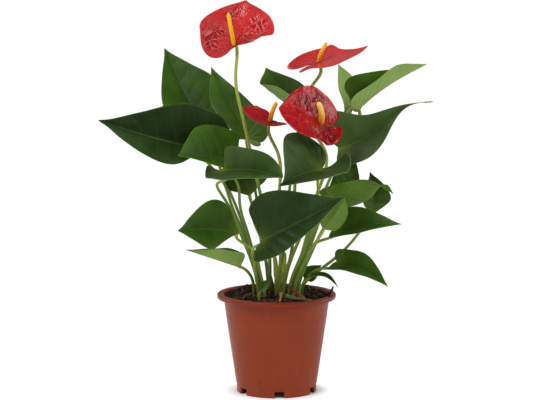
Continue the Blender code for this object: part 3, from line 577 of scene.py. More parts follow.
def half_outline(leaf, side, length, row):
    """The margin of one half in the flat: round the lobe and down to the tip, or straight from the joint."""
    half, lobe, wide, taper, tip = (leaf[key][side] for key in ("half", "lobe", "wide", "taper", "tips"))
    end = np.stack([half * tip[:, 0] ** taper, length * mixed(wide, 1, tip[:, 1])], axis=1)
    if lobe > 0:
        start = np.concatenate([LOBE * (half, -lobe), [(0.97 * half, 0.3 * wide * length)]])
        return smooth_curve(np.concatenate([start, end]), row)
    share = np.array([0, 0.25, 0.5, 0.77])
    start = np.stack([share * half, -lobe * share**0.9], axis=1)
    return smooth_curve(np.concatenate([start, end]), ramped(row, FAN_SHARE, 1 - FAN_SHARE))


def blade_surface(leaf, rows, columns, relief):
    """The upper face of a blade, [side, row, column], with its flat places and distances.

    In the flat, each row is a side vein from the midrib to the margin, and the rows of the lobe fan out from
    the joint. The midrib's frame then carries the flat into space, turned up by the fold and bent by the
    curl, with the lobes lifted on an arc, the margin waved by a sine and the relief added along the normal.
    """
    midrib = even_curve(leaf["midrib"], 60)
    arc = np.concatenate([[0], np.cumsum(np.linalg.norm(np.diff(midrib, axis=0), axis=1))])
    length = arc[-1]
    along = unit(np.gradient(midrib, arc, axis=0))
    faces = np.atleast_2d(np.asarray(leaf["face"], float))
    keys = np.linspace(0, 1, len(faces))
    looks = np.stack([np.interp(arc / length, keys, faces[:, axis]) for axis in range(3)], axis=1)
    above = unit(looks - (looks * along).sum(axis=1, keepdims=True) * along)
    aside = np.cross(along, above)
    fold = leaf["fold"]
    row = np.linspace(0, 1, rows)
    column = np.append(np.linspace(0, 0.985, columns - 1) ** 1.1, 1.0)
    root = length * ramped(row, FAN_SHARE, 1 - FAN_SHARE) ** 1.25
    power = 1 + 0.35 * np.minimum(1, 4 * root / length)
    sheets = []
    flats = []
    for side, sign in enumerate((-1, 1)):
        edge = half_outline(leaf, side, length, row)
        half = leaf["half"][side]
        lobe = abs(leaf["lobe"][side])
        x = edge[:, :1] * column
        y = root[:, None] + (edge[:, 1:] - root[:, None]) * column ** power[:, None]
        inside = np.clip(y, 0, length)
        centre, way, over, out = (
            np.stack([np.interp(inside, arc, line[:, axis]) for axis in range(3)], axis=-1)
            for line in (midrib, along, above, aside)
        )
        behind = np.clip(-y, 0, None)
        turn = np.radians(leaf["lift"][side]) / lobe + 1e-6
        angle = (turn * behind)[..., None]
        centre = centre - way * np.sin(angle) / turn + over * (1 - np.cos(angle)) / turn
        over = over * np.cos(angle) + way * np.sin(angle)
        tip_fold = leaf.get("fold_tip", fold)[side] - fold[side]
        lobe_fold = leaf.get("fold_lobe", fold)[side] - fold[side]
        ahead = np.clip(y / length, 0, 1)
        rise = np.radians(fold[side] + tip_fold * ahead + lobe_fold * np.clip(behind / lobe, 0, 1))
        bend = np.radians(leaf["curl"][side]) / half + 1e-6
        lean = rise + bend * x
        aside_by = (np.sin(lean) - np.sin(rise)) / bend
        above_by = (np.cos(rise) - np.cos(lean)) / bend
        wave = min(WAVE, 0.05 * half) * np.sin(FULL_TURN * (2.5 * row + 0.2 + 0.4 * side + length / 90))
        above_by = above_by + wave[:, None] * (x / half) ** 2
        normal = over * np.cos(lean)[..., None] - sign * out * np.sin(lean)[..., None]
        height = relief(np.stack([sign * x, y], axis=-1), row[:, None] + 0 * x, column + 0 * x)
        height = height * np.minimum(1, x / 5)
        spread = sign * out * aside_by[..., None] + over * above_by[..., None]
        sheets.append(centre + spread + normal * height[..., None])
        flats.append(np.stack([x, y], axis=-1))
    return np.array(sheets), np.array(flats), row, column, length


def joined(halves):
    """Two halves [side, row, column, ...] side by side, from the left margin to the right margin."""
    left, right = halves
    return np.concatenate([left[:, ::-1], right[:, 1:]], axis=1)


def make_blade(name, leaf, size, relief, thickness, rib, paint, materials):
    """A blade whose sheet thins towards the margin and whose midrib stands out below as a bell curve."""
    rows, columns = size
    sheets, flats, row, column, length = blade_surface(leaf, rows, columns, relief)
    grid = joined(sheets)
    flat = joined(flats)
    row = row[:, None] + 0 * flat[..., 0]
    side = np.sign(np.arange(2 * columns - 1) - (columns - 1)) + 0 * row
    share = np.concatenate([column[::-1], column[1:]]) + 0 * row
    uv = np.stack([row, 0.5 + 0.5 * side * share], axis=-1)
    ahead = np.clip(flat[..., 1] / length, 0, 1)
    depth = thickness * (1 - 0.45 * share) + rib * (1 - ahead) * bell(flat[..., 0], 0, 1.3)
    tint, under = (colour.reshape(-1, 3) for colour in paint(flat, row, share, side))
    quads = grid_faces(rows, 2 * columns - 1)
    return shell(name, grid.reshape(-1, 3), quads, depth.ravel(), uv.reshape(-1, 2), tint, under, materials)


def leaf_relief(spacing, depth):
    """Side veins sunk at whole numbers of spacings, a net of soft cells, and a sunk midrib."""
    def height(flat, row, share):
        swell = 1 - np.abs(np.cos(np.pi * row / spacing)) ** 6
        near, _ = cells(flat, 6.0, 5)
        quilt = depth * np.sin(np.pi * np.clip(share, 0, 1)) ** 0.8 * (swell - 0.25 + 0.35 * (0.5 - near))
        return quilt - 1.2 * depth * bell(flat[..., 0], 0, 1.6)
    return height


def spathe_hollows(flat, row, share, bloom, seed):
    """Where a spathe is pitted, 0 to 1, and how near each place is to a vein between its pits, 0 to 1.

    Pits are the cells round jittered centres laid out along the side veins, so they narrow toward the
    joint. They are only deep inside the bloom's own patches, which are bell curves in the flat.
    """
    drift = np.stack([soft_noise(flat, 7.0, seed + 1), soft_noise(flat, 5.0, seed + 2)], axis=-1)
    places = np.stack([row, share], axis=-1) * np.array(bloom["pits"])
    near, next_near = cells(places + 0.8 * drift + 20, 1.0, seed)
    wall = bell(next_near, near, 0.26)
    patch = 0.10 + 0 * row
    for across, along, wide, tall in bloom["hollows"]:
        patch = patch + bell(flat[..., 0], across, wide) * bell(flat[..., 1], along, tall)
    patch = patch * (1 + 0.5 * drift[..., 0]) * ramped(1 - share, 0, 0.10)
    return np.clip(patch, 0, 1), wall


def spathe_relief(depth, bloom, seed):
    """Pits between raised crooked veins in the bloom's hollows, slow swells elsewhere, and a rolled rim."""
    def height(flat, row, share):
        patch, wall = spathe_hollows(flat, row, share, bloom, seed)
        crooked = np.pi * row / SPATHE_VEIN_SPACING + 1.5 * soft_noise(flat, 16.0, seed + 4)
        valley = np.abs(np.cos(crooked)) ** 4
        swell = soft_noise(flat, 12.0, seed + 3) * ramped(1 - share, 0, 0.2)
        rim = bell(share, 0.93, 0.04)
        pitted = patch * (1.5 * wall - 1.1)
        smooth = bloom["valley"] * (0.35 * swell - valley * (1 - share)) + 0.25 * rim
        return depth * (bloom["pitted"] * pitted + smooth)
    return height


def joint_of(leaf):
    """A point on the midrib just past the joint, and the way that the blade's face looks there."""
    joint, ahead = np.asarray(leaf["midrib"][:2], float)
    way = unit(ahead - joint)
    face = np.atleast_2d(np.asarray(leaf["face"], float))[0]
    return joint + JOINT_INSET * way, unit(face - face @ way * way)


def stalk_path(leaf, stalk, count, relief=VEIN_DEPTH):
    """From the hole in the soil up to the blade's joint, which it meets squarely from below."""
    joint, above = joint_of(leaf)
    end = joint - (RIB_THICKNESS + GAP + relief) * above
    turn = end - 5 * above - 3 * unit(end - np.asarray(stalk[-1], float))
    points = [(*stalk[0], FOOT), (*stalk[0], SOIL_TOP + 3), *stalk[1:], turn, end - 1.5 * above]
    return np.concatenate([even_curve(points, count - 1), [joint - 0.6 * above]])


# ---------------------------------------------------------------- materials

VEIN_GREEN = (0.10, 0.19, 0.045, 1)
MIDRIB_GREEN = (0.13, 0.23, 0.05, 1)
NET_GREEN = (0.09, 0.16, 0.05, 1)
PALE_VEIN = (0.34, 0.44, 0.15, 1)
PALE_NET = (0.16, 0.27, 0.08, 1)
SPECK_BROWN = (0.035, 0.012, 0.008, 1)
RING_BROWN = (0.12, 0.018, 0.008, 1)
WORN_PINK = (0.62, 0.36, 0.27, 1)
PEAT_FIBRE = (0.11, 0.045, 0.022, 1)
CRUMB_BROWN = (0.040, 0.022, 0.015, 1)
ROOT_BROWN = (0.16, 0.075, 0.035, 1)
BARK_BROWN = (0.085, 0.040, 0.022, 1)
STRAW_YELLOW = (0.24, 0.17, 0.06, 1)


class Wire:
    """What one output of a shader node puts out. Arithmetic on wires adds the Math node that does it."""

    def __init__(self, socket):
        self.socket = socket
        self.tree = socket.id_data

    def maths(self, operation, *values, clamp=False):
        return add(self.tree, "Math", dict(enumerate(values)), operation=operation, use_clamp=clamp)[0]

    def __add__(self, other):
        return self.maths("ADD", self, other)

    def __radd__(self, other):
        return self.maths("ADD", other, self)

    def __sub__(self, other):
        return self.maths("SUBTRACT", self, other)

    def __rsub__(self, other):
        return self.maths("SUBTRACT", other, self)

    def __mul__(self, other):
        return self.maths("MULTIPLY", self, other)

    def __truediv__(self, other):
        return self.maths("DIVIDE", self, other)

    def __abs__(self):
        return self.maths("ABSOLUTE", self)

    def below(self, limit):
        return self.maths("LESS_THAN", self, limit)

    def fades(self, reach):
        """1 at zero, down to 0 at the reach."""
        return self.maths("SUBTRACT", 1.0, self / reach, clamp=True)


class Outputs:
    """A shader node whose outputs are read as wires, by name or number."""

    def __init__(self, made):
        self.node = made

    def __getitem__(self, key):
        return Wire(self.node.outputs[key])


def feed(made, sockets):
    """Gives each socket of a node its value, or a link where the value is a wire."""
    for key, value in sockets.items():
        if isinstance(value, Wire):
            value.tree.links.new(value.socket, made.inputs[key])
        else:
            made.inputs[key].default_value = value


def add(tree, kind, sockets, **settings):
    """A new shader node of this kind, with its settings and its sockets fed."""
    made = tree.nodes.new("ShaderNode" + kind)
    for key, value in settings.items():
        setattr(made, key, value)
    feed(made, sockets)
    return Outputs(made)


def ramp(factor, stops):
    """A colour ramp with these (place, grey) stops."""
    made = add(factor.tree, "ValToRGB", {"Fac": factor})
    elements = made.node.color_ramp.elements
    while len(elements) < len(stops):
        elements.new(0.5)
    for element, (place, grey) in zip(elements, stops):
        element.position = place
        element.color = (grey, grey, grey, 1)
    return made["Color"]


def blended(factor, first, second, tree=None, **settings):
    """The first colour turned into the second by the factor."""
    sockets = {0: factor, 6: first, 7: second}
    return add(tree or factor.tree, "Mix", sockets, data_type="RGBA", **settings)[2]


def shaded(colour, shade):
    """A colour multiplied with a number."""
    grey = add(shade.tree, "CombineXYZ", {0: shade, 1: shade, 2: shade})[0]
    return blended(1.0, colour, grey, shade.tree, blend_type="MULTIPLY")


def tinted(tree, shade):
    """The piece's own tint, shaded."""
    return shaded(add(tree, "VertexColor", {}, layer_name="tint")["Color"], shade)


def object_place(tree):
    return add(tree, "TexCoord", {})["Object"]


def streaks_of(tree, scale, detail):
    """Noise drawn out along a stalk, on its own UV map."""
    place = add(tree, "TexCoord", {})["UV"]
    spread = add(tree, "Mapping", {"Vector": place, "Scale": scale})[0]
    return add(tree, "TexNoise", {"Vector": spread, "Scale": 1.0, "Detail": detail})[0]


def new_group(name, inputs, outputs):
    """A node group of numbers: its tree, its inputs as wires, and the node that takes its outputs."""
    tree = bpy.data.node_groups.new(name, "ShaderNodeTree")
    for label, default in inputs.items():
        socket = tree.interface.new_socket(label, in_out="INPUT", socket_type="NodeSocketFloat")
        socket.default_value = default
    for label in outputs:
        tree.interface.new_socket(label, in_out="OUTPUT", socket_type="NodeSocketFloat")
    return tree, Outputs(tree.nodes.new("NodeGroupInput")), tree.nodes.new("NodeGroupOutput")


def vein_group():
    """Side veins at whole numbers of spacings, thinner towards the margin, a midrib, and a net of cells."""
    inputs = {"Spacing": 0.098, "Width": 0.06, "Net Scale": 420.0}
    tree, entry, end = new_group("Leaf Veins", inputs, ["Veins", "Midrib", "Net"])
    place = add(tree, "TexCoord", {})
    parts = add(tree, "SeparateXYZ", {0: place["UV"]})
    share = abs(parts[1] - 0.5) * 2.0
    wander = add(tree, "TexNoise", {"Vector": place["Object"], "Scale": 60.0, "Detail": 1.0})[0]
    turns = (parts[0] + (wander - 0.5) * 0.012) / entry["Spacing"]
    off = abs(turns.maths("FRACT", turns + 0.5) - 0.5)
    side = off.fades(entry["Width"] * (1.15 - share))
    collector = abs(share - 0.88).fades(0.02)
    net = {"Vector": place["Object"], "Scale": entry["Net Scale"]}
    edge = add(tree, "TexVoronoi", net, feature="DISTANCE_TO_EDGE")["Distance"]
    veins = side.maths("MAXIMUM", side, collector * 0.6)
    feed(end, {"Veins": veins, "Midrib": share.fades(0.05), "Net": edge.fades(0.12)})
    return tree


def mottle_group():
    """Soft light and dark clouds, and a finer grain, as numbers round 1 to multiply a colour with."""
    inputs = {"Scale": 30.0, "Amount": 0.3, "Grain": 0.1}
    tree, entry, end = new_group("Mottle", inputs, ["Shade", "Cloud"])
    place = object_place(tree)
    cloud = add(tree, "TexNoise", {"Vector": place, "Scale": entry["Scale"], "Detail": 3.0})[0]
    fine = add(tree, "TexNoise", {"Vector": place, "Scale": 900.0, "Detail": 2.0})[0]
    slow = (cloud - 0.5) * entry["Amount"]
    quick = (fine - 0.5) * entry["Grain"]
    feed(end, {"Shade": 1.0 + (slow + quick), "Cloud": cloud})
    return tree


def placed(tree, name, maker, values):
    """A shared group put into a material; it is made when first asked for."""
    made = tree.nodes.new("ShaderNodeGroup")
    made.node_tree = bpy.data.node_groups.get(name) or maker()
    feed(made, values)
    return Outputs(made)


def veined(tree, spacing, width, net=420.0):
    return placed(tree, "Leaf Veins", vein_group, {"Spacing": spacing, "Width": width, "Net Scale": net})


def mottled(tree, scale, amount, grain):
    return placed(tree, "Mottle", mottle_group, {"Scale": scale, "Amount": amount, "Grain": grain})


def finish(name, maker, *arguments, **constants):
    """The material of this name, made when first asked for; constants go to its shader's own sockets."""
    found = bpy.data.materials.get(name)
    if found:
        return found
    made = bpy.data.materials.new(name)
    made.use_nodes = True
    shader = made.node_tree.nodes["Principled BSDF"]
    feed(shader, {key.replace("_", " "): value for key, value in constants.items()})
    feed(shader, maker(made.node_tree, *arguments))
    return made


def bumped(height, strength, distance=0.0003):
    sockets = {"Height": height, "Strength": strength, "Distance": distance}
    return add(height.tree, "Bump", sockets)["Normal"]


def leaf_upper_skin(tree, looks):
    """Leathery upper face: side veins a little lighter, a faint net, soft clouds, and a waxy gloss."""
    veins = veined(tree, looks.vein_spacing, 0.07)
    mottle = mottled(tree, 38.0, 0.55, 0.10)
    base = blended(veins["Veins"] * 0.07, tinted(tree, mottle["Shade"]), VEIN_GREEN)
    base = blended(veins["Midrib"] * 0.25, base, MIDRIB_GREEN)
    base = blended(veins["Net"] * 0.06, base, NET_GREEN)
    height = veins["Veins"] * -1.0 + veins["Net"] * -0.18
    roughness = looks.gloss + mottle["Cloud"] * 0.16
    return {"Base Color": base, "Roughness": roughness, "Normal": bumped(height, 0.3)}


def leaf_under_skin(tree, looks):
    """Pale matt underside, its veins and net standing out a little and darker between."""
    veins = veined(tree, looks.vein_spacing, 0.09)
    base = tinted(tree, mottled(tree, 45.0, 0.25, 0.10)["Shade"])
    base = blended(veins["Veins"] * 0.18, base, PALE_VEIN)
    base = blended(veins["Net"] * 0.12, base, PALE_NET)
    return {"Base Color": base, "Normal": bumped(veins["Veins"] + veins["Net"], 0.35)}


def stalk_skin(tree):
    """Smooth skin with faint streaks along it."""
    streaks = streaks_of(tree, (22.0, 3.0, 1.0), 3.0)
    base = tinted(tree, mottled(tree, 160.0, 0.35, 0.15)["Shade"])
    return {"Base Color": shaded(base, 0.7 + streaks * 0.6), "Normal": bumped(streaks, 0.25)}


def spathe_skin(tree, dark, roughness):
    """Waxy red skin: darker in the vein grooves, with clouds of deeper red."""
    veins = veined(tree, SPATHE_VEIN_SPACING, 0.10, 260.0)
    mottle = mottled(tree, 70.0, 0.35, 0.06)
    base = blended(veins["Veins"] * 0.10, tinted(tree, mottle["Shade"]), dark)
    base = blended(veins["Net"] * 0.06, base, dark)
    height = (veins["Veins"] + veins["Net"] * 0.4) * -1.0
    roughness = roughness + mottle["Cloud"] * 0.12
    return {"Base Color": base, "Roughness": roughness, "Normal": bumped(height, 0.15)}


def spadix_skin(tree):
    """Floret skin: the tint along the spike, darker in the gaps between florets by a fine cell pattern."""
    dots = add(tree, "TexVoronoi", {"Vector": object_place(tree), "Scale": 900.0})["Distance"]
    base = tinted(tree, mottled(tree, 220.0, 0.25, 0.15)["Shade"])
    return {"Base Color": shaded(base, 1.18 - dots * 0.30), "Normal": bumped(1.0 - dots, 0.2)}


def dry_skin(tree):
    """Papery dried sheath: long fibres and brown blotches over the tint."""
    fibres = streaks_of(tree, (26.0, 4.0, 1.0), 4.0)
    base = tinted(tree, mottled(tree, 260.0, 0.9, 0.3)["Shade"])
    return {"Base Color": shaded(base, 0.5 + fibres), "Normal": bumped(fibres, 0.6, 0.0006)}


def pot_plastic(tree, looks):
    """Plastic: faint flow clouds, fine turned lines, scuffs, dark specks, a mould ring and a darker rim."""
    place = object_place(tree)
    up = add(tree, "SeparateXYZ", {0: place})[2]
    mottle = mottled(tree, 26.0, 0.16, 0.10)
    rim = ramp(up * 10.0, [(0.0, 0.0), (0.945, 0.0), (0.960, 1.0), (1.0, 1.0)])
    base = blended(rim * 0.75, shaded(looks.plastic, mottle["Shade"]), looks.rim)
    specks = add(tree, "TexVoronoi", {"Vector": place, "Scale": 70.0})["Distance"]
    base = blended(specks.below(0.055) * 0.7, base, SPECK_BROWN)
    ring = abs(up - (POT_HEIGHT - RIM_DEPTH - SHOULDER_DROP + 0.4) * MM).below(0.0004)
    base = blended(ring * 0.22, base, RING_BROWN)
    upright = add(tree, "Mapping", {"Vector": place, "Scale": (160.0, 160.0, 14.0)})[0]
    scuffs = add(tree, "TexNoise", {"Vector": upright, "Scale": 1.0, "Detail": 5.0})[0]
    worn = ramp(scuffs, [(0.0, 0.0), (0.60, 0.0), (0.78, 1.0)])
    base = blended(worn * 0.04, base, WORN_PINK)
    waves = {"Vector": place, "Scale": 260.0, "Distortion": 1.0}
    lines = add(tree, "TexWave", waves, bands_direction="Z")["Fac"]
    normal = bumped(lines * 0.25 + scuffs, 0.12, 0.0004)
    return {"Base Color": base, "Roughness": 0.24 + mottle["Cloud"] * 0.16, "Normal": normal}


def damp_peat(tree, colour, flecks):
    """Damp peat: near-black with clouds, warm brown fibres and a few pale grains."""
    base = shaded(colour, mottled(tree, 180.0, 1.2, 0.6)["Shade"])
    noise = {"Vector": object_place(tree), "Scale": 420.0, "Detail": 6.0, "Distortion": 1.6}
    strands = add(tree, "TexNoise", noise)[0]
    warm = ramp(strands, [(0.0, 0.0), (0.56, 0.0), (0.72, 1.0)])
    base = blended(warm * flecks, base, PEAT_FIBRE)
    return {"Base Color": base, "Normal": bumped(strands, 0.8, 0.0015)}


# ---------------------------------------------------------------- paint by place

JOINT_GREEN = np.array((0.20, 0.26, 0.04))
PALE_JOINT_GREEN = np.array((0.34, 0.42, 0.07))
# painted highlight: the pale pink glint laid along the walls between a spathe's pits
GLINT_PINK = np.array((0.25, 0.22, 0.22))
RAGGED_BROWN = np.array((0.20, 0.06, 0.03))


def near_joint(flat):
    return np.exp(-np.hypot(flat[..., 0], flat[..., 1]) / 7.0)[..., None]


def leaf_paint(looks, leaf):
    """Upper face from dark to fresh green by tone, yellower at the joint, with painted shade and sheen; pale
    below.
    """
    colours = (looks.dark, looks.fresh, looks.sheen_grey, looks.under)
    dark, fresh, sheen_grey, under = (np.array(colour[:3]) for colour in colours)

    def paint(flat, row, share, side):
        share, side = share[..., None], side[..., None]
        patch = 0.5 + 0.5 * soft_noise(flat + 31 * side, 26.0, 7)[..., None]
        cloud = 1 + 0.22 * soft_noise(flat + 17 * side, 11.0, 8)[..., None]
        # painted light and shade: by its halves pair, one half of the blade is painted lighter and the other
        # darker
        half = mixed(1, np.where(side < 0, *leaf["halves"]), np.clip(share * 6, 0, 1))
        green = mixed(dark, fresh, leaf["tone"])
        # painted sheen: by its grey value, the upper face turns grey in patches, more so toward the margin
        green = mixed(green, sheen_grey, np.clip(leaf["grey"] * (0.35 + patch) * (0.4 + 0.9 * share), 0, 1))
        # painted shade in the valley along the midrib, and painted sheen that lightens the green toward the
        # margin
        green = green * cloud * (0.74 + 0.46 * share**0.8) * half
        green = mixed(green, JOINT_GREEN, 0.55 * near_joint(flat))
        green = mixed(green, fresh, 0.5 * ramped(share, 0.95, 0.05))
        below = under * (0.85 + 0.3 * patch) * np.array(leaf["pale"])
        return green, mixed(below, PALE_JOINT_GREEN, 0.5 * near_joint(flat))
    return paint


def spathe_paint(colour, deep, bloom, seed):
    """Red with painted shade inside the pits, deeper in slow patches and toward the joint; a little paler
    below.
    """
    colour, deep = np.array(colour[:3]), np.array(deep[:3])

    def paint(flat, row, share, side):
        signed = np.stack([side * flat[..., 0], flat[..., 1]], axis=-1)
        patch, wall = spathe_hollows(signed, row, share, bloom, seed)
        patch, wall = bloom["pitted"] * patch[..., None], wall[..., None]
        slow = np.clip(0.5 + 0.9 * soft_noise(signed, 14.0, 9), 0, 1)[..., None]
        lines = np.stack([row * 60, share * 3], axis=-1)
        streak = np.clip(0.5 + soft_noise(lines, 1.0, seed + 5), 0, 1)[..., None]
        # painted shade on the pit floors away from their walls; slow patches, streaks and the joint deepen
        # the red too
        shade = 1.5 * patch * (1 - wall) + 0.30 * slow + 0.18 * streak + 0.5 * near_joint(flat)
        face = mixed(colour, deep, np.clip(shade, 0, 1))
        # painted highlight: pale glints along the walls between the pits
        face = mixed(face, 0.8 * colour + GLINT_PINK, 0.6 * patch * wall**3)
        return face, 0.75 * colour + 0.06 + 0 * face
    return paint


def graded(stops, share):
    """A colour along a path, blended straight between (share, colour) stops."""
    places = [place for place, _ in stops]
    colours = np.array([colour for _, colour in stops])
    return np.stack([np.interp(share, places, colours[:, axis]) for axis in range(3)], axis=-1)


# ---------------------------------------------------------------- stalks, spadices and crown

def make_stalk(name, path, radii, stops, skin, sides=18):
    """A stalk: a tube whose radius swells at the joint by a bell curve and ripples a little by noise."""
    share = np.linspace(0, 1, len(path))
    places = np.stack(np.meshgrid(np.arange(sides) / sides * 3, share * 9), axis=-1)
    ripple = soft_noise(places, 1.0, 11)
    grid = tube_grid(path, radii[:, None] * (1 + 0.05 * ripple), sides)
    tint = graded(stops, share)[:, None] * (1 + 0.18 * ripple[..., None])
    return closed_tube(name, grid, skin, tint)


def stalk_radii(count, bottom, top, joint):
    """Radii that narrow from bottom to top, flare at the foot and swell near the blade."""
    share = np.linspace(0, 1, count)
    swelling = (joint - top) * bell(share, 0.965, 0.045)
    return mixed(bottom, top, share) + swelling + 0.35 * np.exp(-share / 0.09)


def make_spadix(name, bloom, skin):
    """A blunt spike whose florets are domes where two families of helices cross: |sin u| times |sin v|."""
    rings, sides = 160, 64
    radius = bloom["spadix_radius"]
    joint, above = joint_of(bloom)
    line = even_curve([joint - 0.4 * above, *bloom["spadix"]], rings)
    share = np.linspace(0, 1, rings)
    length = np.linalg.norm(np.diff(line, axis=0), axis=1).sum()
    blunt = np.sqrt(np.clip(1 - ((share - 0.88) / 0.122).clip(0) ** 2, 0.01, 1))
    body = radius * (1 - 0.18 * share) * blunt * (1 - 0.35 * np.exp(-share / 0.035))
    turns = max(6, round(FULL_TURN * radius / 1.7))
    around = turns * np.arange(sides)[None] / sides
    along = (share * length / 1.9)[:, None]
    floret = np.sqrt(np.abs(np.sin(np.pi * (around + along)) * np.sin(np.pi * (around - along))))
    grid = tube_grid(line, body[:, None] * (0.93 + 0.12 * floret), sides)
    tint = graded(bloom["florets"], share)[:, None] * (0.90 + 0.18 * floret[..., None])
    return closed_tube(name, grid, skin, tint)


def make_shoot(name, path, radii, phase, skin):
    """A sheathed shoot: its radius climbs in slanting steps, one for each old sheath that wraps the next."""
    rings, sides = 110, 32
    share = np.linspace(0, 1, rings)
    around = turns_round(sides)[None]
    body = np.interp(share, np.linspace(0, 1, len(radii)), radii)
    slant = 4.2 * share[:, None] + 0.55 * np.cos(around + phase) + 0.25 * np.cos(2 * around - phase)
    step = slant - np.floor(slant)
    grid = tube_grid(even_curve(path, rings), body[:, None] * (1.06 - 0.16 * step), sides)
    step = step[..., None]
    tint = graded(SHOOT_COLOURS, share)[:, None] * (0.75 + 0.45 * (1 - step))
    return closed_tube(name, grid, skin, mixed(tint, RAGGED_BROWN, 0.8 * ramped(step, 0.9, 0.1)))


def make_dry_sheath(name, path, stops, skin):
    """A withered sheath: a flattened tube that narrows to its tip, with a torn, noisy edge."""
    rings, sides = 60, 20
    share = np.linspace(0, 1, rings)
    around = turns_round(sides)
    ripple = soft_noise(np.stack(np.meshgrid(np.cos(around) * 2, share * 12), axis=-1), 1.0, 21)
    flat = np.hypot(1.45 * np.cos(around), 0.62 * np.sin(around))
    body = np.linspace(1.5, 0.5, rings)[:, None] * flat * (1 + 0.25 * ripple)
    tint = graded(stops, share)[:, None] * (1 + 0.3 * ripple[..., None])
    return closed_tube(name, tube_grid(even_curve(path, rings), body, sides), skin, tint)


# ---------------------------------------------------------------- pot and soil

def rounded(profile, radius, steps=4):
    """A profile whose corners become quadratic curves that start this radius away from each corner."""
    profile = np.asarray(profile, float)
    made = [profile[:1]]
    share = np.linspace(0, 1, steps)[:, None]
    for before, corner, after in zip(profile[:-2], profile[1:-1], profile[2:]):
        start, end = (
            corner + unit(beside - corner) * min(radius, 0.45 * np.linalg.norm(beside - corner))
            for beside in (before, after)
        )
        made.append((1 - share) ** 2 * start + 2 * share * (1 - share) * corner + share**2 * end)
    made.append(profile[-1:])
    return np.concatenate(made)


def pot_profile():
    """Radius and height round the wall: from the middle below, up the outside, over the rim, down inside."""
    lip = POT_HEIGHT - RIM_DEPTH
    mouth = RIM_RADIUS - RIM_WIDTH
    ring = lip - SHOULDER_DROP
    ring_radius = mixed(STEP_RADIUS, NECK_RADIUS, (ring - STEP_HEIGHT) / (lip - STEP_HEIGHT))
    return rounded([
        (0, 0), (HUB_RADIUS, 0), (HUB_RADIUS + 2.5, FLOOR_LIFT), (FOOT_RADIUS - 2.3, FLOOR_LIFT),
        (FOOT_RADIUS - 1.6, 0), (FOOT_RADIUS, 0),
        (STEP_RADIUS - 0.5, STEP_HEIGHT), (STEP_RADIUS, STEP_HEIGHT + 0.6),
        (ring_radius - 0.1, ring - 1.2), (ring_radius + 0.25, ring), (ring_radius + 0.15, ring + 1.2),
        (NECK_RADIUS, lip), (RIM_RADIUS - 0.5, lip), (RIM_RADIUS, lip + 0.6), (RIM_RADIUS, POT_HEIGHT - 0.7),
        (RIM_RADIUS - 0.7, POT_HEIGHT), (mouth + 0.7, POT_HEIGHT), (mouth, POT_HEIGHT - 0.9),
        (NECK_RADIUS - WALL, lip - 2), (STEP_RADIUS - WALL, FLOOR_LIFT + 2 * WALL),
        (STEP_RADIUS - 2 * WALL, FLOOR_LIFT + WALL), (HUB_RADIUS + 1.5, FLOOR_LIFT + WALL),
        (HUB_RADIUS - 1.0, WALL), (0, WALL),
    ], CORNER_RADIUS)


def make_pot(name, plastic):
    """The pot: a rounded profile turned about Z, whose foot ring is lifted where the notches are."""
    curve = pot_profile()
    notch_top = FLOOR_LIFT - 0.2
    low = np.linspace(0.3, notch_top, 4)[1:]
    foot = np.argmax((curve[:, 1] > 1) & (curve[:, 0] > FOOT_RADIUS - 0.5))
    wall = np.stack([mixed(FOOT_RADIUS, STEP_RADIUS - 0.5, low / STEP_HEIGHT), low], axis=1)
    curve = np.concatenate([curve[:foot], wall, curve[foot:]])
    middles = -np.pi / 2 + NOTCH_TURN + turns_round(NOTCH_COUNT)
    reach = np.arcsin(NOTCH_WIDTH / 2 / FOOT_RADIUS)
    edges = (middles[:, None] + np.array([-reach - 0.001, -reach, reach, reach + 0.001])).ravel()
    angles = np.sort(np.concatenate([turns_round(POT_SIDES), edges % FULL_TURN]))
    off = np.abs((angles[:, None] - middles + np.pi) % FULL_TURN - np.pi).min(axis=1)
    radius = curve[:, :1] + 0 * angles
    height = curve[:, 1:] + 0 * angles
    notched = (radius > FOOT_RADIUS - 3) & (height < notch_top) & (off <= reach + 1e-4)
    height = np.where(notched, notch_top, height)
    grid = np.stack([radius * np.cos(angles), radius * np.sin(angles), height], axis=-1)
    points, faces, _, _ = welded(grid.reshape(-1, 3), grid_faces(*grid.shape[:2], closed=True))
    made = put(name, points, faces, [plastic])
    for angle in middles + DRAIN_TURN:
        drilled(made, DRAIN_CIRCLE * np.cos(angle), DRAIN_CIRCLE * np.sin(angle), plastic)
    made.data.polygons.foreach_set("use_smooth", np.ones(len(made.data.polygons), bool))
    made.data.set_sharp_from_angle(angle=SHARP_ANGLE)
    return made


def drilled(made, x, y, plastic):
    """Cuts a drain hole through the pot's floor with a Boolean modifier, and puts its result in the mesh."""
    sides = 24
    path = [(x, y, FLOOR_LIFT + lift) for lift in (-3, 1, 5)]
    side = tube_grid(path, [DRAIN_RADIUS] * 3, sides)
    cutter = closed_tube("drain_cutter", side, plastic, np.zeros((3, sides, 3)))
    change = made.modifiers.new("Drain", "BOOLEAN")
    change.operation = "DIFFERENCE"
    change.solver = "EXACT"
    change.object = cutter
    graph = bpy.context.evaluated_depsgraph_get()
    cut = bpy.data.meshes.new_from_object(
        made.evaluated_get(graph), preserve_all_data_layers=True, depsgraph=graph
    )
    whole = made.data
    made.modifiers.clear()
    made.data = cut
    bpy.data.meshes.remove(whole)
    bpy.data.objects.remove(cutter, do_unlink=True)


def soil_height(x, y):
    """A low mound about the crown with waves of crumbs, a little more soil and two heaps at the back."""
    mound = SOIL_MOUND * np.exp(-(x**2 + y**2) / 30.0**2)
    waves = 0.7 * np.sin(0.43 * x + 1.1) * np.cos(0.37 * y) + 0.5 * np.sin(0.9 * x - 0.6 * y)
    left_heap = np.exp(-((x + 30) ** 2 + (y - 30) ** 2) / 200)
    right_heap = np.exp(-((x - 30) ** 2 + (y - 30) ** 2) / 160)
    return SOIL_TOP + mound + waves + 0.03 * y + 4.5 * (left_heap + 0.8 * right_heap)


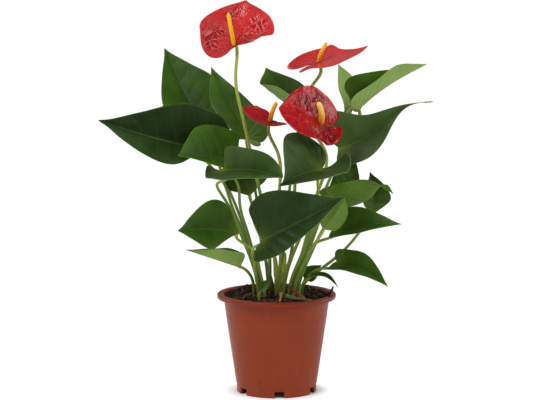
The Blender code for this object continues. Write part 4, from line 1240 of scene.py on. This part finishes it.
def make_ground(name, peat):
    """The soil: rings about the middle at the mound's height plus three sizes of noise, closed below."""
    rings, columns = 90, 260
    share = np.linspace(0, 1, rings)
    angles = turns_round(columns)
    radius = (NECK_RADIUS - WALL - GAP - 0.2) * share[:, None]
    x, y = radius * np.cos(angles), radius * np.sin(angles)
    flat = np.stack([x, y], axis=-1)
    coarse, middle, fine = (soft_noise(flat, cell, seed) for cell, seed in ((5.0, 41), (2.2, 42), (1.1, 43)))
    rough = 0.8 * coarse + 0.6 * middle + 0.35 * fine
    edge = ramped(1 - share, 0, 0.04)[:, None]
    top = np.stack([x, y, soil_height(x, y) + rough * edge - 0.4], axis=-1)
    floor = np.stack([x[-1], y[-1], 0 * x[-1] + HOLE_BOTTOM], axis=-1)[None]
    centre = np.zeros((1, columns, 3)) + (0, 0, HOLE_BOTTOM)
    grid = np.concatenate([centre, floor, top[::-1]])
    points, faces, _, _ = welded(grid.reshape(-1, 3), grid_faces(len(grid), columns, closed=True))
    return put(name, points, faces, [peat])


def scattered(rng, count, reach):
    """Even random places in a disc: the radius is the square root of a random share."""
    radius = reach * np.sqrt(rng.uniform(0.02, 1, count))
    angle = rng.uniform(0, FULL_TURN, count)
    return radius * np.cos(angle), radius * np.sin(angle)


def make_crumbs(name, count, seed, peat, largest=1.3):
    """Lumps of peat: one twenty-sided solid, stretched, dented and turned at random for each lump."""
    rng = np.random.default_rng(seed)
    golden = (1 + 5**0.5) / 2
    solid = unit(np.array([
        (-1, golden, 0), (1, golden, 0), (-1, -golden, 0), (1, -golden, 0),
        (0, -1, golden), (0, 1, golden), (0, -1, -golden), (0, 1, -golden),
        (golden, 0, -1), (golden, 0, 1), (-golden, 0, -1), (-golden, 0, 1),
    ]))
    sides = np.array([
        (0, 11, 5), (0, 5, 1), (0, 1, 7), (0, 7, 10), (0, 10, 11),
        (1, 5, 9), (5, 11, 4), (11, 10, 2), (10, 7, 6), (7, 1, 8),
        (3, 9, 4), (3, 4, 2), (3, 2, 6), (3, 6, 8), (3, 8, 9),
        (4, 9, 5), (2, 4, 11), (6, 2, 10), (8, 6, 7), (9, 8, 1),
    ])
    x, y = scattered(rng, count, NECK_RADIUS - WALL - 3.0)
    size = 0.45 + largest * rng.uniform(0, 1, count) ** 2.5
    lumps = solid[None] * (1 + 0.25 * rng.uniform(-1, 1, (count, 12, 1)))
    lumps = lumps * rng.uniform(0.6, 1.3, (count, 1, 3))
    turns = np.linalg.qr(rng.normal(size=(count, 3, 3)))[0]
    turns = turns * np.sign(np.linalg.det(turns))[:, None, None]
    lumps = np.einsum("nij,nkj->nki", turns, lumps) * size[:, None, None]
    centres = np.stack([x, y, soil_height(x, y) + 0.2 * size], axis=1)
    faces = sides[None] + 12 * np.arange(count)[:, None, None]
    return put(name, (lumps + centres[:, None]).reshape(-1, 3), faces.reshape(-1, 3), [peat])


def make_fibres(name, count, seed, root, thickest=0.38):
    """Root fibres and bits of straw: thin three-sided tubes, each a shallow arc that lies on the soil."""
    rng = np.random.default_rng(seed)
    rings = 9
    x, y = scattered(rng, count, NECK_RADIUS - WALL - 9.0)
    heading = rng.uniform(0, FULL_TURN, count)
    reach = rng.uniform(4, 11, count)
    bow = rng.uniform(-0.5, 0.5, count) * reach
    thick = rng.uniform(0.4 * thickest, thickest, count)
    rise = rng.uniform(0.2, 1.5, count)
    share = np.linspace(-0.5, 0.5, rings)[None]
    along = share * reach[:, None]
    aside = bow[:, None] * (0.25 - share**2)
    east, north = np.cos(heading)[:, None], np.sin(heading)[:, None]
    x = x[:, None] + along * east - aside * north
    y = y[:, None] + along * north + aside * east
    keep = np.minimum(1, (NECK_RADIUS - WALL - 2.5) / np.hypot(x, y))
    x, y = x * keep, y * keep
    lift = rise[:, None] * (1 - (2 * share) ** 2) + 0.5
    centre = np.stack([x, y, soil_height(x, y) + lift], axis=-1)
    angles = turns_round(3)[:, None]
    sideways = np.stack([-north, east, 0 * east], axis=-1)[:, None]
    spread = np.cos(angles) * sideways + np.sin(angles) * np.array((0.0, 0.0, 1.0))
    taper = (1 - (2 * share) ** 4) * 0.9 + 0.1
    grid = centre[:, :, None] + spread * (thick[:, None] * taper)[..., None, None]
    index = np.arange(count * rings * 3).reshape(count, rings, 3)
    ahead = np.roll(index, -1, axis=2)
    quads = np.stack([index[:, :-1], ahead[:, :-1], ahead[:, 1:], index[:, 1:]], axis=-1).reshape(-1, 4)
    caps = np.concatenate([index[:, 0, ::-1], index[:, -1]])
    faces = np.concatenate([quads[:, [0, 1, 2]], quads[:, [0, 2, 3]], caps])
    return put(name, grid.reshape(-1, 3), faces, [root])


# ---------------------------------------------------------------- settings

def colour_setting(name, description, default):
    return bpy.props.FloatVectorProperty(
        name=name, description=description, subtype="COLOR", size=4, min=0.0, max=1.0,
        default=(*default, 1.0),
    )


def length_setting(name, description, default, low, high):
    return bpy.props.FloatProperty(
        name=name, description=description, default=default, min=low, max=high, unit="LENGTH", precision=5
    )


def share_setting(name, description, default, low=0.0, high=1.0):
    return bpy.props.FloatProperty(
        name=name, description=description, default=default, min=low, max=high, subtype="FACTOR"
    )


def count_setting(name, description, default, high):
    return bpy.props.IntProperty(name=name, description=description, default=default, min=0, max=high)


class LeafSettings(bpy.types.PropertyGroup):
    """Sizes and colours of the leaves."""

    vein_spacing: share_setting("Vein spacing", "Share of a margin between two side veins", 0.098, 0.04, 0.3)
    quilt: length_setting("Quilting", "How far the blade swells between its veins", 0.0004, 0.0, 0.002)
    thickness: length_setting("Thickness", "Thickness of a blade beside its midrib", 0.0007, 0.0003, 0.002)
    gloss: share_setting("Roughness", "Roughness of the waxy upper face", 0.26, 0.05)
    dark: colour_setting("Old green", "Upper face of an old leaf", (0.013, 0.036, 0.006))
    fresh: colour_setting("Fresh green", "Upper face of a young leaf", (0.058, 0.152, 0.004))
    # the grey green is a painted sheen, laid in patches over the upper face
    sheen_grey: colour_setting("Grey green", "Patches with a dull bloom on the upper face", (0.062, 0.092, 0.040))
    under: colour_setting("Underside", "Underside of a blade", (0.19, 0.29, 0.070))


class BloomSettings(bpy.types.PropertyGroup):
    """Sizes and colours of the blooms."""

    pucker: length_setting("Pucker", "Height of the blisters on a spathe", 0.0011, 0.0, 0.003)
    roughness: share_setting("Roughness", "Roughness under the spathe's clear coat", 0.22, 0.05)
    coral: colour_setting("Coral", "Colour of the two upper spathes", (0.64, 0.036, 0.036))
    coral_deep: colour_setting("Deep coral", "Shaded parts of the upper spathes", (0.42, 0.002, 0.003))
    coral_coat: share_setting("Coral coat", "Clear coat of the two upper spathes", 0.45)
    crimson: colour_setting("Crimson", "Colour of the two lower spathes", (0.53, 0.006, 0.010))
    crimson_deep: colour_setting("Deep crimson", "Shaded parts of the lower spathes", (0.15, 0.001, 0.003))
    crimson_coat: share_setting("Crimson coat", "Clear coat of the two lower spathes", 0.24)


class PotSettings(bpy.types.PropertyGroup):
    """Colours of the pot."""

    plastic: colour_setting("Plastic", "Colour of the pot's wall", (0.255, 0.037, 0.009))
    rim: colour_setting("Rim", "Colour of the pot's thicker rim", (0.205, 0.023, 0.005))


class SoilSettings(bpy.types.PropertyGroup):
    """Contents and colour of the soil."""

    peat: colour_setting("Peat", "Colour of the damp peat", (0.012, 0.0075, 0.0055))
    crumbs: count_setting("Crumbs", "Number of loose lumps on the soil", 900, 4000)
    bark: count_setting("Bark", "Number of larger bits of bark on the soil", 160, 1000)
    fibres: count_setting("Fibres", "Number of root fibres on the soil", 170, 1000)
    straw: count_setting("Straw", "Number of bits of straw on the soil", 46, 1000)
    seed: count_setting("Seed", "Start of the random places", 3, 1000)


class StageSettings(bpy.types.PropertyGroup):
    """Floor, light and camera."""

    floor: colour_setting("Floor", "Colour of the floor", (1.0, 1.0, 1.0))
    cut_out: share_setting("Cut out", "How far the floor reads as plain white, without shadow", 0.97)
    sky: share_setting("Sky", "Strength of the even light from all round", 0.28)
    key: bpy.props.FloatProperty(
        name="Key light", description="Power of the soft light at the upper left",
        default=34.0, min=0.0, max=500.0, unit="POWER",
    )
    distance: bpy.props.FloatProperty(
        name="Camera distance", description="Distance of the camera in front of the pot",
        default=2.5, min=0.5, max=10.0, unit="LENGTH",
    )


# ---------------------------------------------------------------- operators

def leaf_faces(looks):
    return [
        finish("leaf_upper", leaf_upper_skin, looks, Specular_IOR_Level=0.09),
        finish("leaf_underside", leaf_under_skin, looks, Roughness=0.55, Specular_IOR_Level=0.2),
    ]


def green_skin():
    return finish("stalk_skin", stalk_skin, Roughness=0.45, Specular_IOR_Level=0.25)


def soil_finish(name, colour, flecks):
    return finish(name, damp_peat, colour, flecks, Roughness=0.9, Specular_IOR_Level=0.25)


class ANTHURIUM_OT_pot(bpy.types.Operator):
    """Make the turned pot with its rim, foot notches and drain holes"""

    bl_idname = "anthurium.pot"
    bl_label = "Make Pot"
    bl_options = {"REGISTER", "UNDO"}

    def execute(self, context):
        plastic = finish("pot_plastic", pot_plastic, context.scene.anthurium_pot, Specular_IOR_Level=0.20)
        stand_in(make_pot("moulded_pot", plastic), "terracotta_plastic", "pot")
        return {"FINISHED"}


class ANTHURIUM_OT_soil(bpy.types.Operator):
    """Make the peat with its loose crumbs, bark, fibres and straw"""

    bl_idname = "anthurium.soil"
    bl_label = "Make Soil"
    bl_options = {"REGISTER", "UNDO"}

    def execute(self, context):
        looks = context.scene.anthurium_soil
        seed = looks.seed
        peat = soil_finish("peat", looks.peat, 0.55)
        crumb = soil_finish("peat_crumb", CRUMB_BROWN, 0.7)
        fibre = soil_finish("root_fibre", ROOT_BROWN, 0.4)
        bark = soil_finish("bark_bits", BARK_BROWN, 0.6)
        straw = soil_finish("straw_bits", STRAW_YELLOW, 0.6)
        stand_in(make_ground("peat_surface", peat), "potting_soil", "soil")
        stand_in(make_crumbs("peat_crumbs", looks.crumbs, seed, crumb), "potting_soil")
        stand_in(make_fibres("peat_fibres", looks.fibres, seed + 1, fibre), "potting_soil")
        stand_in(make_crumbs("bark_pieces", looks.bark, seed + 2, bark, largest=2.6), "potting_soil")
        stand_in(make_fibres("straw_pieces", looks.straw, seed + 3, straw, thickest=0.75), "potting_soil")
        return {"FINISHED"}


class ANTHURIUM_OT_crown(bpy.types.Operator):
    """Make the sheathed shoots and the withered bits that lie on the soil"""

    bl_idname = "anthurium.crown"
    bl_label = "Make Crown"
    bl_options = {"REGISTER", "UNDO"}

    def execute(self, context):
        for name, (path, radii, phase, nodes) in SHOOTS.items():
            stand_in(make_shoot(name, path, radii, phase, green_skin()), "sheathed_stem", *nodes)
        dry = finish("dry_sheath_skin", dry_skin, Roughness=0.7)
        for name, (path, stops, nodes) in LITTER.items():
            stand_in(make_dry_sheath(name, path, stops, dry), "dry_sheath", *nodes)
        return {"FINISHED"}


class ANTHURIUM_OT_leaves(bpy.types.Operator):
    """Make the leaves with their quilted blades, midribs and stalks"""

    bl_idname = "anthurium.leaves"
    bl_label = "Make Leaves"
    bl_options = {"REGISTER", "UNDO"}

    def execute(self, context):
        looks = context.scene.anthurium_leaves
        radii = stalk_radii(STALK_RINGS, STALK_RADIUS, STALK_TOP_RADIUS, JOINT_RADIUS)
        for number, table in LEAVES.items():
            leaf = {**LEAF, **table}
            relief = leaf_relief(looks.vein_spacing, leaf["quilt"] * looks.quilt / MM)
            blade = make_blade(
                f"quilted_leaf_{number}", leaf, LEAF_GRID, relief, looks.thickness / MM, LEAF_RIB,
                leaf_paint(looks, leaf), leaf_faces(looks),
            )
            stand_in(blade, "leaf_green", f"leaf_{number}_blade")
            path = stalk_path(leaf, leaf["stalk"], STALK_RINGS)
            if "bend" in leaf:
                path = even_curve([path[0], path[8], *leaf["bend"], path[-1]], STALK_RINGS)
            # petioles that start farther back stand in the shade of the ones in front
            shade = np.clip(1.0 - 0.016 * (leaf["stalk"][0][1] + 14), 0.45, 1.25)
            stops = [(place, shade * np.array(colour)) for place, colour in STALK_COLOURS]
            stalk = make_stalk(f"petiole_{number}", path, radii, stops, green_skin())
            stand_in(stalk, "leaf_stalk", f"leaf_{number}_stalk")
        return {"FINISHED"}


class ANTHURIUM_OT_young_leaves(bpy.types.Operator):
    """Make the small young leaves near the crown"""

    bl_idname = "anthurium.young_leaves"
    bl_label = "Make Young Leaves"
    bl_options = {"REGISTER", "UNDO"}

    def execute(self, context):
        looks = context.scene.anthurium_leaves
        for name, table in YOUNG_LEAVES.items():
            leaf = {**YOUNG_LEAF, **table}
            relief = leaf_relief(looks.vein_spacing, leaf["quilt"] * looks.quilt / MM)
            blade = make_blade(
                f"tender_{name}", leaf, YOUNG_GRID, relief, THIN_BLADE, YOUNG_RIB,
                leaf_paint(looks, leaf), leaf_faces(looks),
            )
            stand_in(blade, "young_leaf_green", name)
            joint, above = joint_of(leaf)
            foot, neck = leaf["stalk"]
            path = even_curve([(*foot, FOOT), (*foot, SOIL_TOP + 2), neck, joint - 0.9 * above], YOUNG_RINGS)
            radii = np.linspace(1.3, 0.8, YOUNG_RINGS)
            stalk = make_stalk(f"{name}_petiole", path, radii, STALK_COLOURS, green_skin(), sides=14)
            stand_in(stalk, "young_leaf_green")
        return {"FINISHED"}


class ANTHURIUM_OT_blooms(bpy.types.Operator):
    """Make the blistered spathes, their spadices and their stalks"""

    bl_idname = "anthurium.blooms"
    bl_label = "Make Blooms"
    bl_options = {"REGISTER", "UNDO"}

    def execute(self, context):
        looks = context.scene.anthurium_blooms
        florets = finish("spadix_florets", spadix_skin, Roughness=0.5, Specular_IOR_Level=0.15)
        radii = stalk_radii(SCAPE_RINGS, SCAPE_FOOT_RADIUS, SCAPE_RADIUS, SCAPE_RADIUS + 0.2)
        for number, table in BLOOMS.items():
            bloom = {**SPATHE, **table}
            name = bloom["paint"]
            colour, deep, coat = (getattr(looks, name + part) for part in ("", "_deep", "_coat"))
            wax = finish(
                f"waxy_{name}", spathe_skin, deep, looks.roughness,
                Coat_Weight=coat, Coat_Roughness=0.06, Specular_IOR_Level=0.06,
            )
            seed = int(number) * 10
            relief = spathe_relief(looks.pucker / MM, bloom, seed)
            blade = make_blade(
                f"blistered_spathe_{number}", bloom, SPATHE_GRID, relief, THIN_BLADE, SPATHE_RIB,
                spathe_paint(colour, deep, bloom, seed), [wax, wax],
            )
            stand_in(blade, f"{name}_spathe", f"bloom_{number}_spathe")
            spadix = make_spadix(f"floret_spadix_{number}", bloom, florets)
            stand_in(spadix, "yellow_spadix", f"bloom_{number}_spadix")
            path = stalk_path(bloom, bloom["scape"], SCAPE_RINGS, PUCKER)
            scape = make_stalk(f"scape_{number}", path, radii, SCAPE_COLOURS, green_skin())
            stand_in(scape, "bloom_stalk", f"bloom_{number}_scape")
        return {"FINISHED"}


def camera_ray(tree):
    return add(tree, "LightPath", {})["Is Camera Ray"]


def floor_skin(tree, looks):
    """A floor that reads white to the camera, but for a band close round the pot that keeps its shadow."""
    away = add(tree, "VectorMath", {0: object_place(tree)}, operation="LENGTH")["Value"] - CLEAR_RADIUS
    clear = away.maths("DIVIDE", away, CLEAR_BAND, clamp=True)
    glow = add(tree, "Emission", {"Color": looks.floor, "Strength": 1.05})[0]
    plain = Outputs(tree.nodes["Principled BSDF"])[0]
    seen = camera_ray(tree) * looks.cut_out * clear
    feed(tree.nodes["Material Output"], {"Surface": add(tree, "MixShader", {0: seen, 1: plain, 2: glow})[0]})
    return {"Base Color": looks.floor}


class ANTHURIUM_OT_stage(bpy.types.Operator):
    """Make the pale floor, the soft studio light and the camera"""

    bl_idname = "anthurium.stage"
    bl_label = "Make Stage"
    bl_options = {"REGISTER", "UNDO"}

    def execute(self, context):
        looks = context.scene.anthurium_stage
        scene = context.scene
        scene.view_settings.view_transform = "Standard"
        scene.world = bpy.data.worlds.new("studio_white")
        scene.world.use_nodes = True
        tree = scene.world.node_tree
        strength = looks.sky + camera_ray(tree) * (1.0 - looks.sky)
        feed(tree.nodes["Background"], {"Color": (1, 1, 1, 1), "Strength": strength})
        pale = finish("pale_floor", floor_skin, looks, Roughness=0.9, Specular_IOR_Level=0.1)
        corners = np.array([(-1, -1), (1, -1), (1, 1), (-1, 1)]) * FLOOR_REACH
        corners = np.append(corners, np.full((4, 1), -FLOOR_DROP), axis=1)
        put("studio_floor", corners, np.array([[0, 1, 2, 3]]), [pale])
        for name, (place, size, share) in LIGHTS.items():
            self.add_light(scene, name, place, size, share * looks.key)
        lens = bpy.data.cameras.new("camera")
        lens.sensor_width = SENSOR_WIDTH
        lens.lens = LENS
        lens.clip_end = FARTHEST_SEEN
        camera = bpy.data.objects.new("camera", lens)
        camera.location = (CAMERA_ASIDE, -looks.distance, CAMERA_HEIGHT)
        camera.rotation_euler = (CAMERA_TILT, 0, 0)
        scene.collection.objects.link(camera)
        scene.camera = camera
        return {"FINISHED"}

    def add_light(self, scene, name, place, size, power):
        """A square light that faces the middle of the plant."""
        lamp = bpy.data.lights.new(name, "AREA")
        lamp.shape = "SQUARE"
        lamp.size = size
        lamp.energy = power
        made = bpy.data.objects.new(name, lamp)
        made.location = place
        x, y, z = np.array(LIGHT_TARGET) - place
        made.rotation_euler = (np.arctan2(np.hypot(x, y), -z), 0, np.arctan2(y, x) - np.pi / 2)
        scene.collection.objects.link(made)


STEPS = (
    ANTHURIUM_OT_stage, ANTHURIUM_OT_pot, ANTHURIUM_OT_soil, ANTHURIUM_OT_crown, ANTHURIUM_OT_leaves,
    ANTHURIUM_OT_young_leaves, ANTHURIUM_OT_blooms,
)
SETTINGS = {
    "anthurium_leaves": LeafSettings, "anthurium_blooms": BloomSettings, "anthurium_pot": PotSettings,
    "anthurium_soil": SoilSettings, "anthurium_stage": StageSettings,
}


class ANTHURIUM_PT_panel(bpy.types.Panel):
    """Lists the settings and the pieces of the plant"""

    bl_idname = "ANTHURIUM_PT_panel"
    bl_label = "Potted Anthurium"
    bl_space_type = "VIEW_3D"
    bl_region_type = "UI"
    bl_category = "Anthurium"

    def draw(self, context):
        for name, kind in SETTINGS.items():
            box = self.layout.box()
            box.label(text=kind.__doc__)
            for key in kind.__annotations__:
                box.prop(getattr(context.scene, name), key)
        for step in STEPS:
            self.layout.operator(step.bl_idname)


def register():
    for kind in (*SETTINGS.values(), *STEPS, ANTHURIUM_PT_panel):
        bpy.utils.register_class(kind)
    for name, kind in SETTINGS.items():
        setattr(bpy.types.Scene, name, bpy.props.PointerProperty(type=kind))


def unregister():
    for name in SETTINGS:
        delattr(bpy.types.Scene, name)
    for kind in (ANTHURIUM_PT_panel, *reversed(STEPS), *reversed(SETTINGS.values())):
        bpy.utils.unregister_class(kind)


def main():
    register()
    for step in STEPS:
        family, name = step.bl_idname.split(".")
        getattr(getattr(bpy.ops, family), name)()


if __name__ == "__main__":
    main()
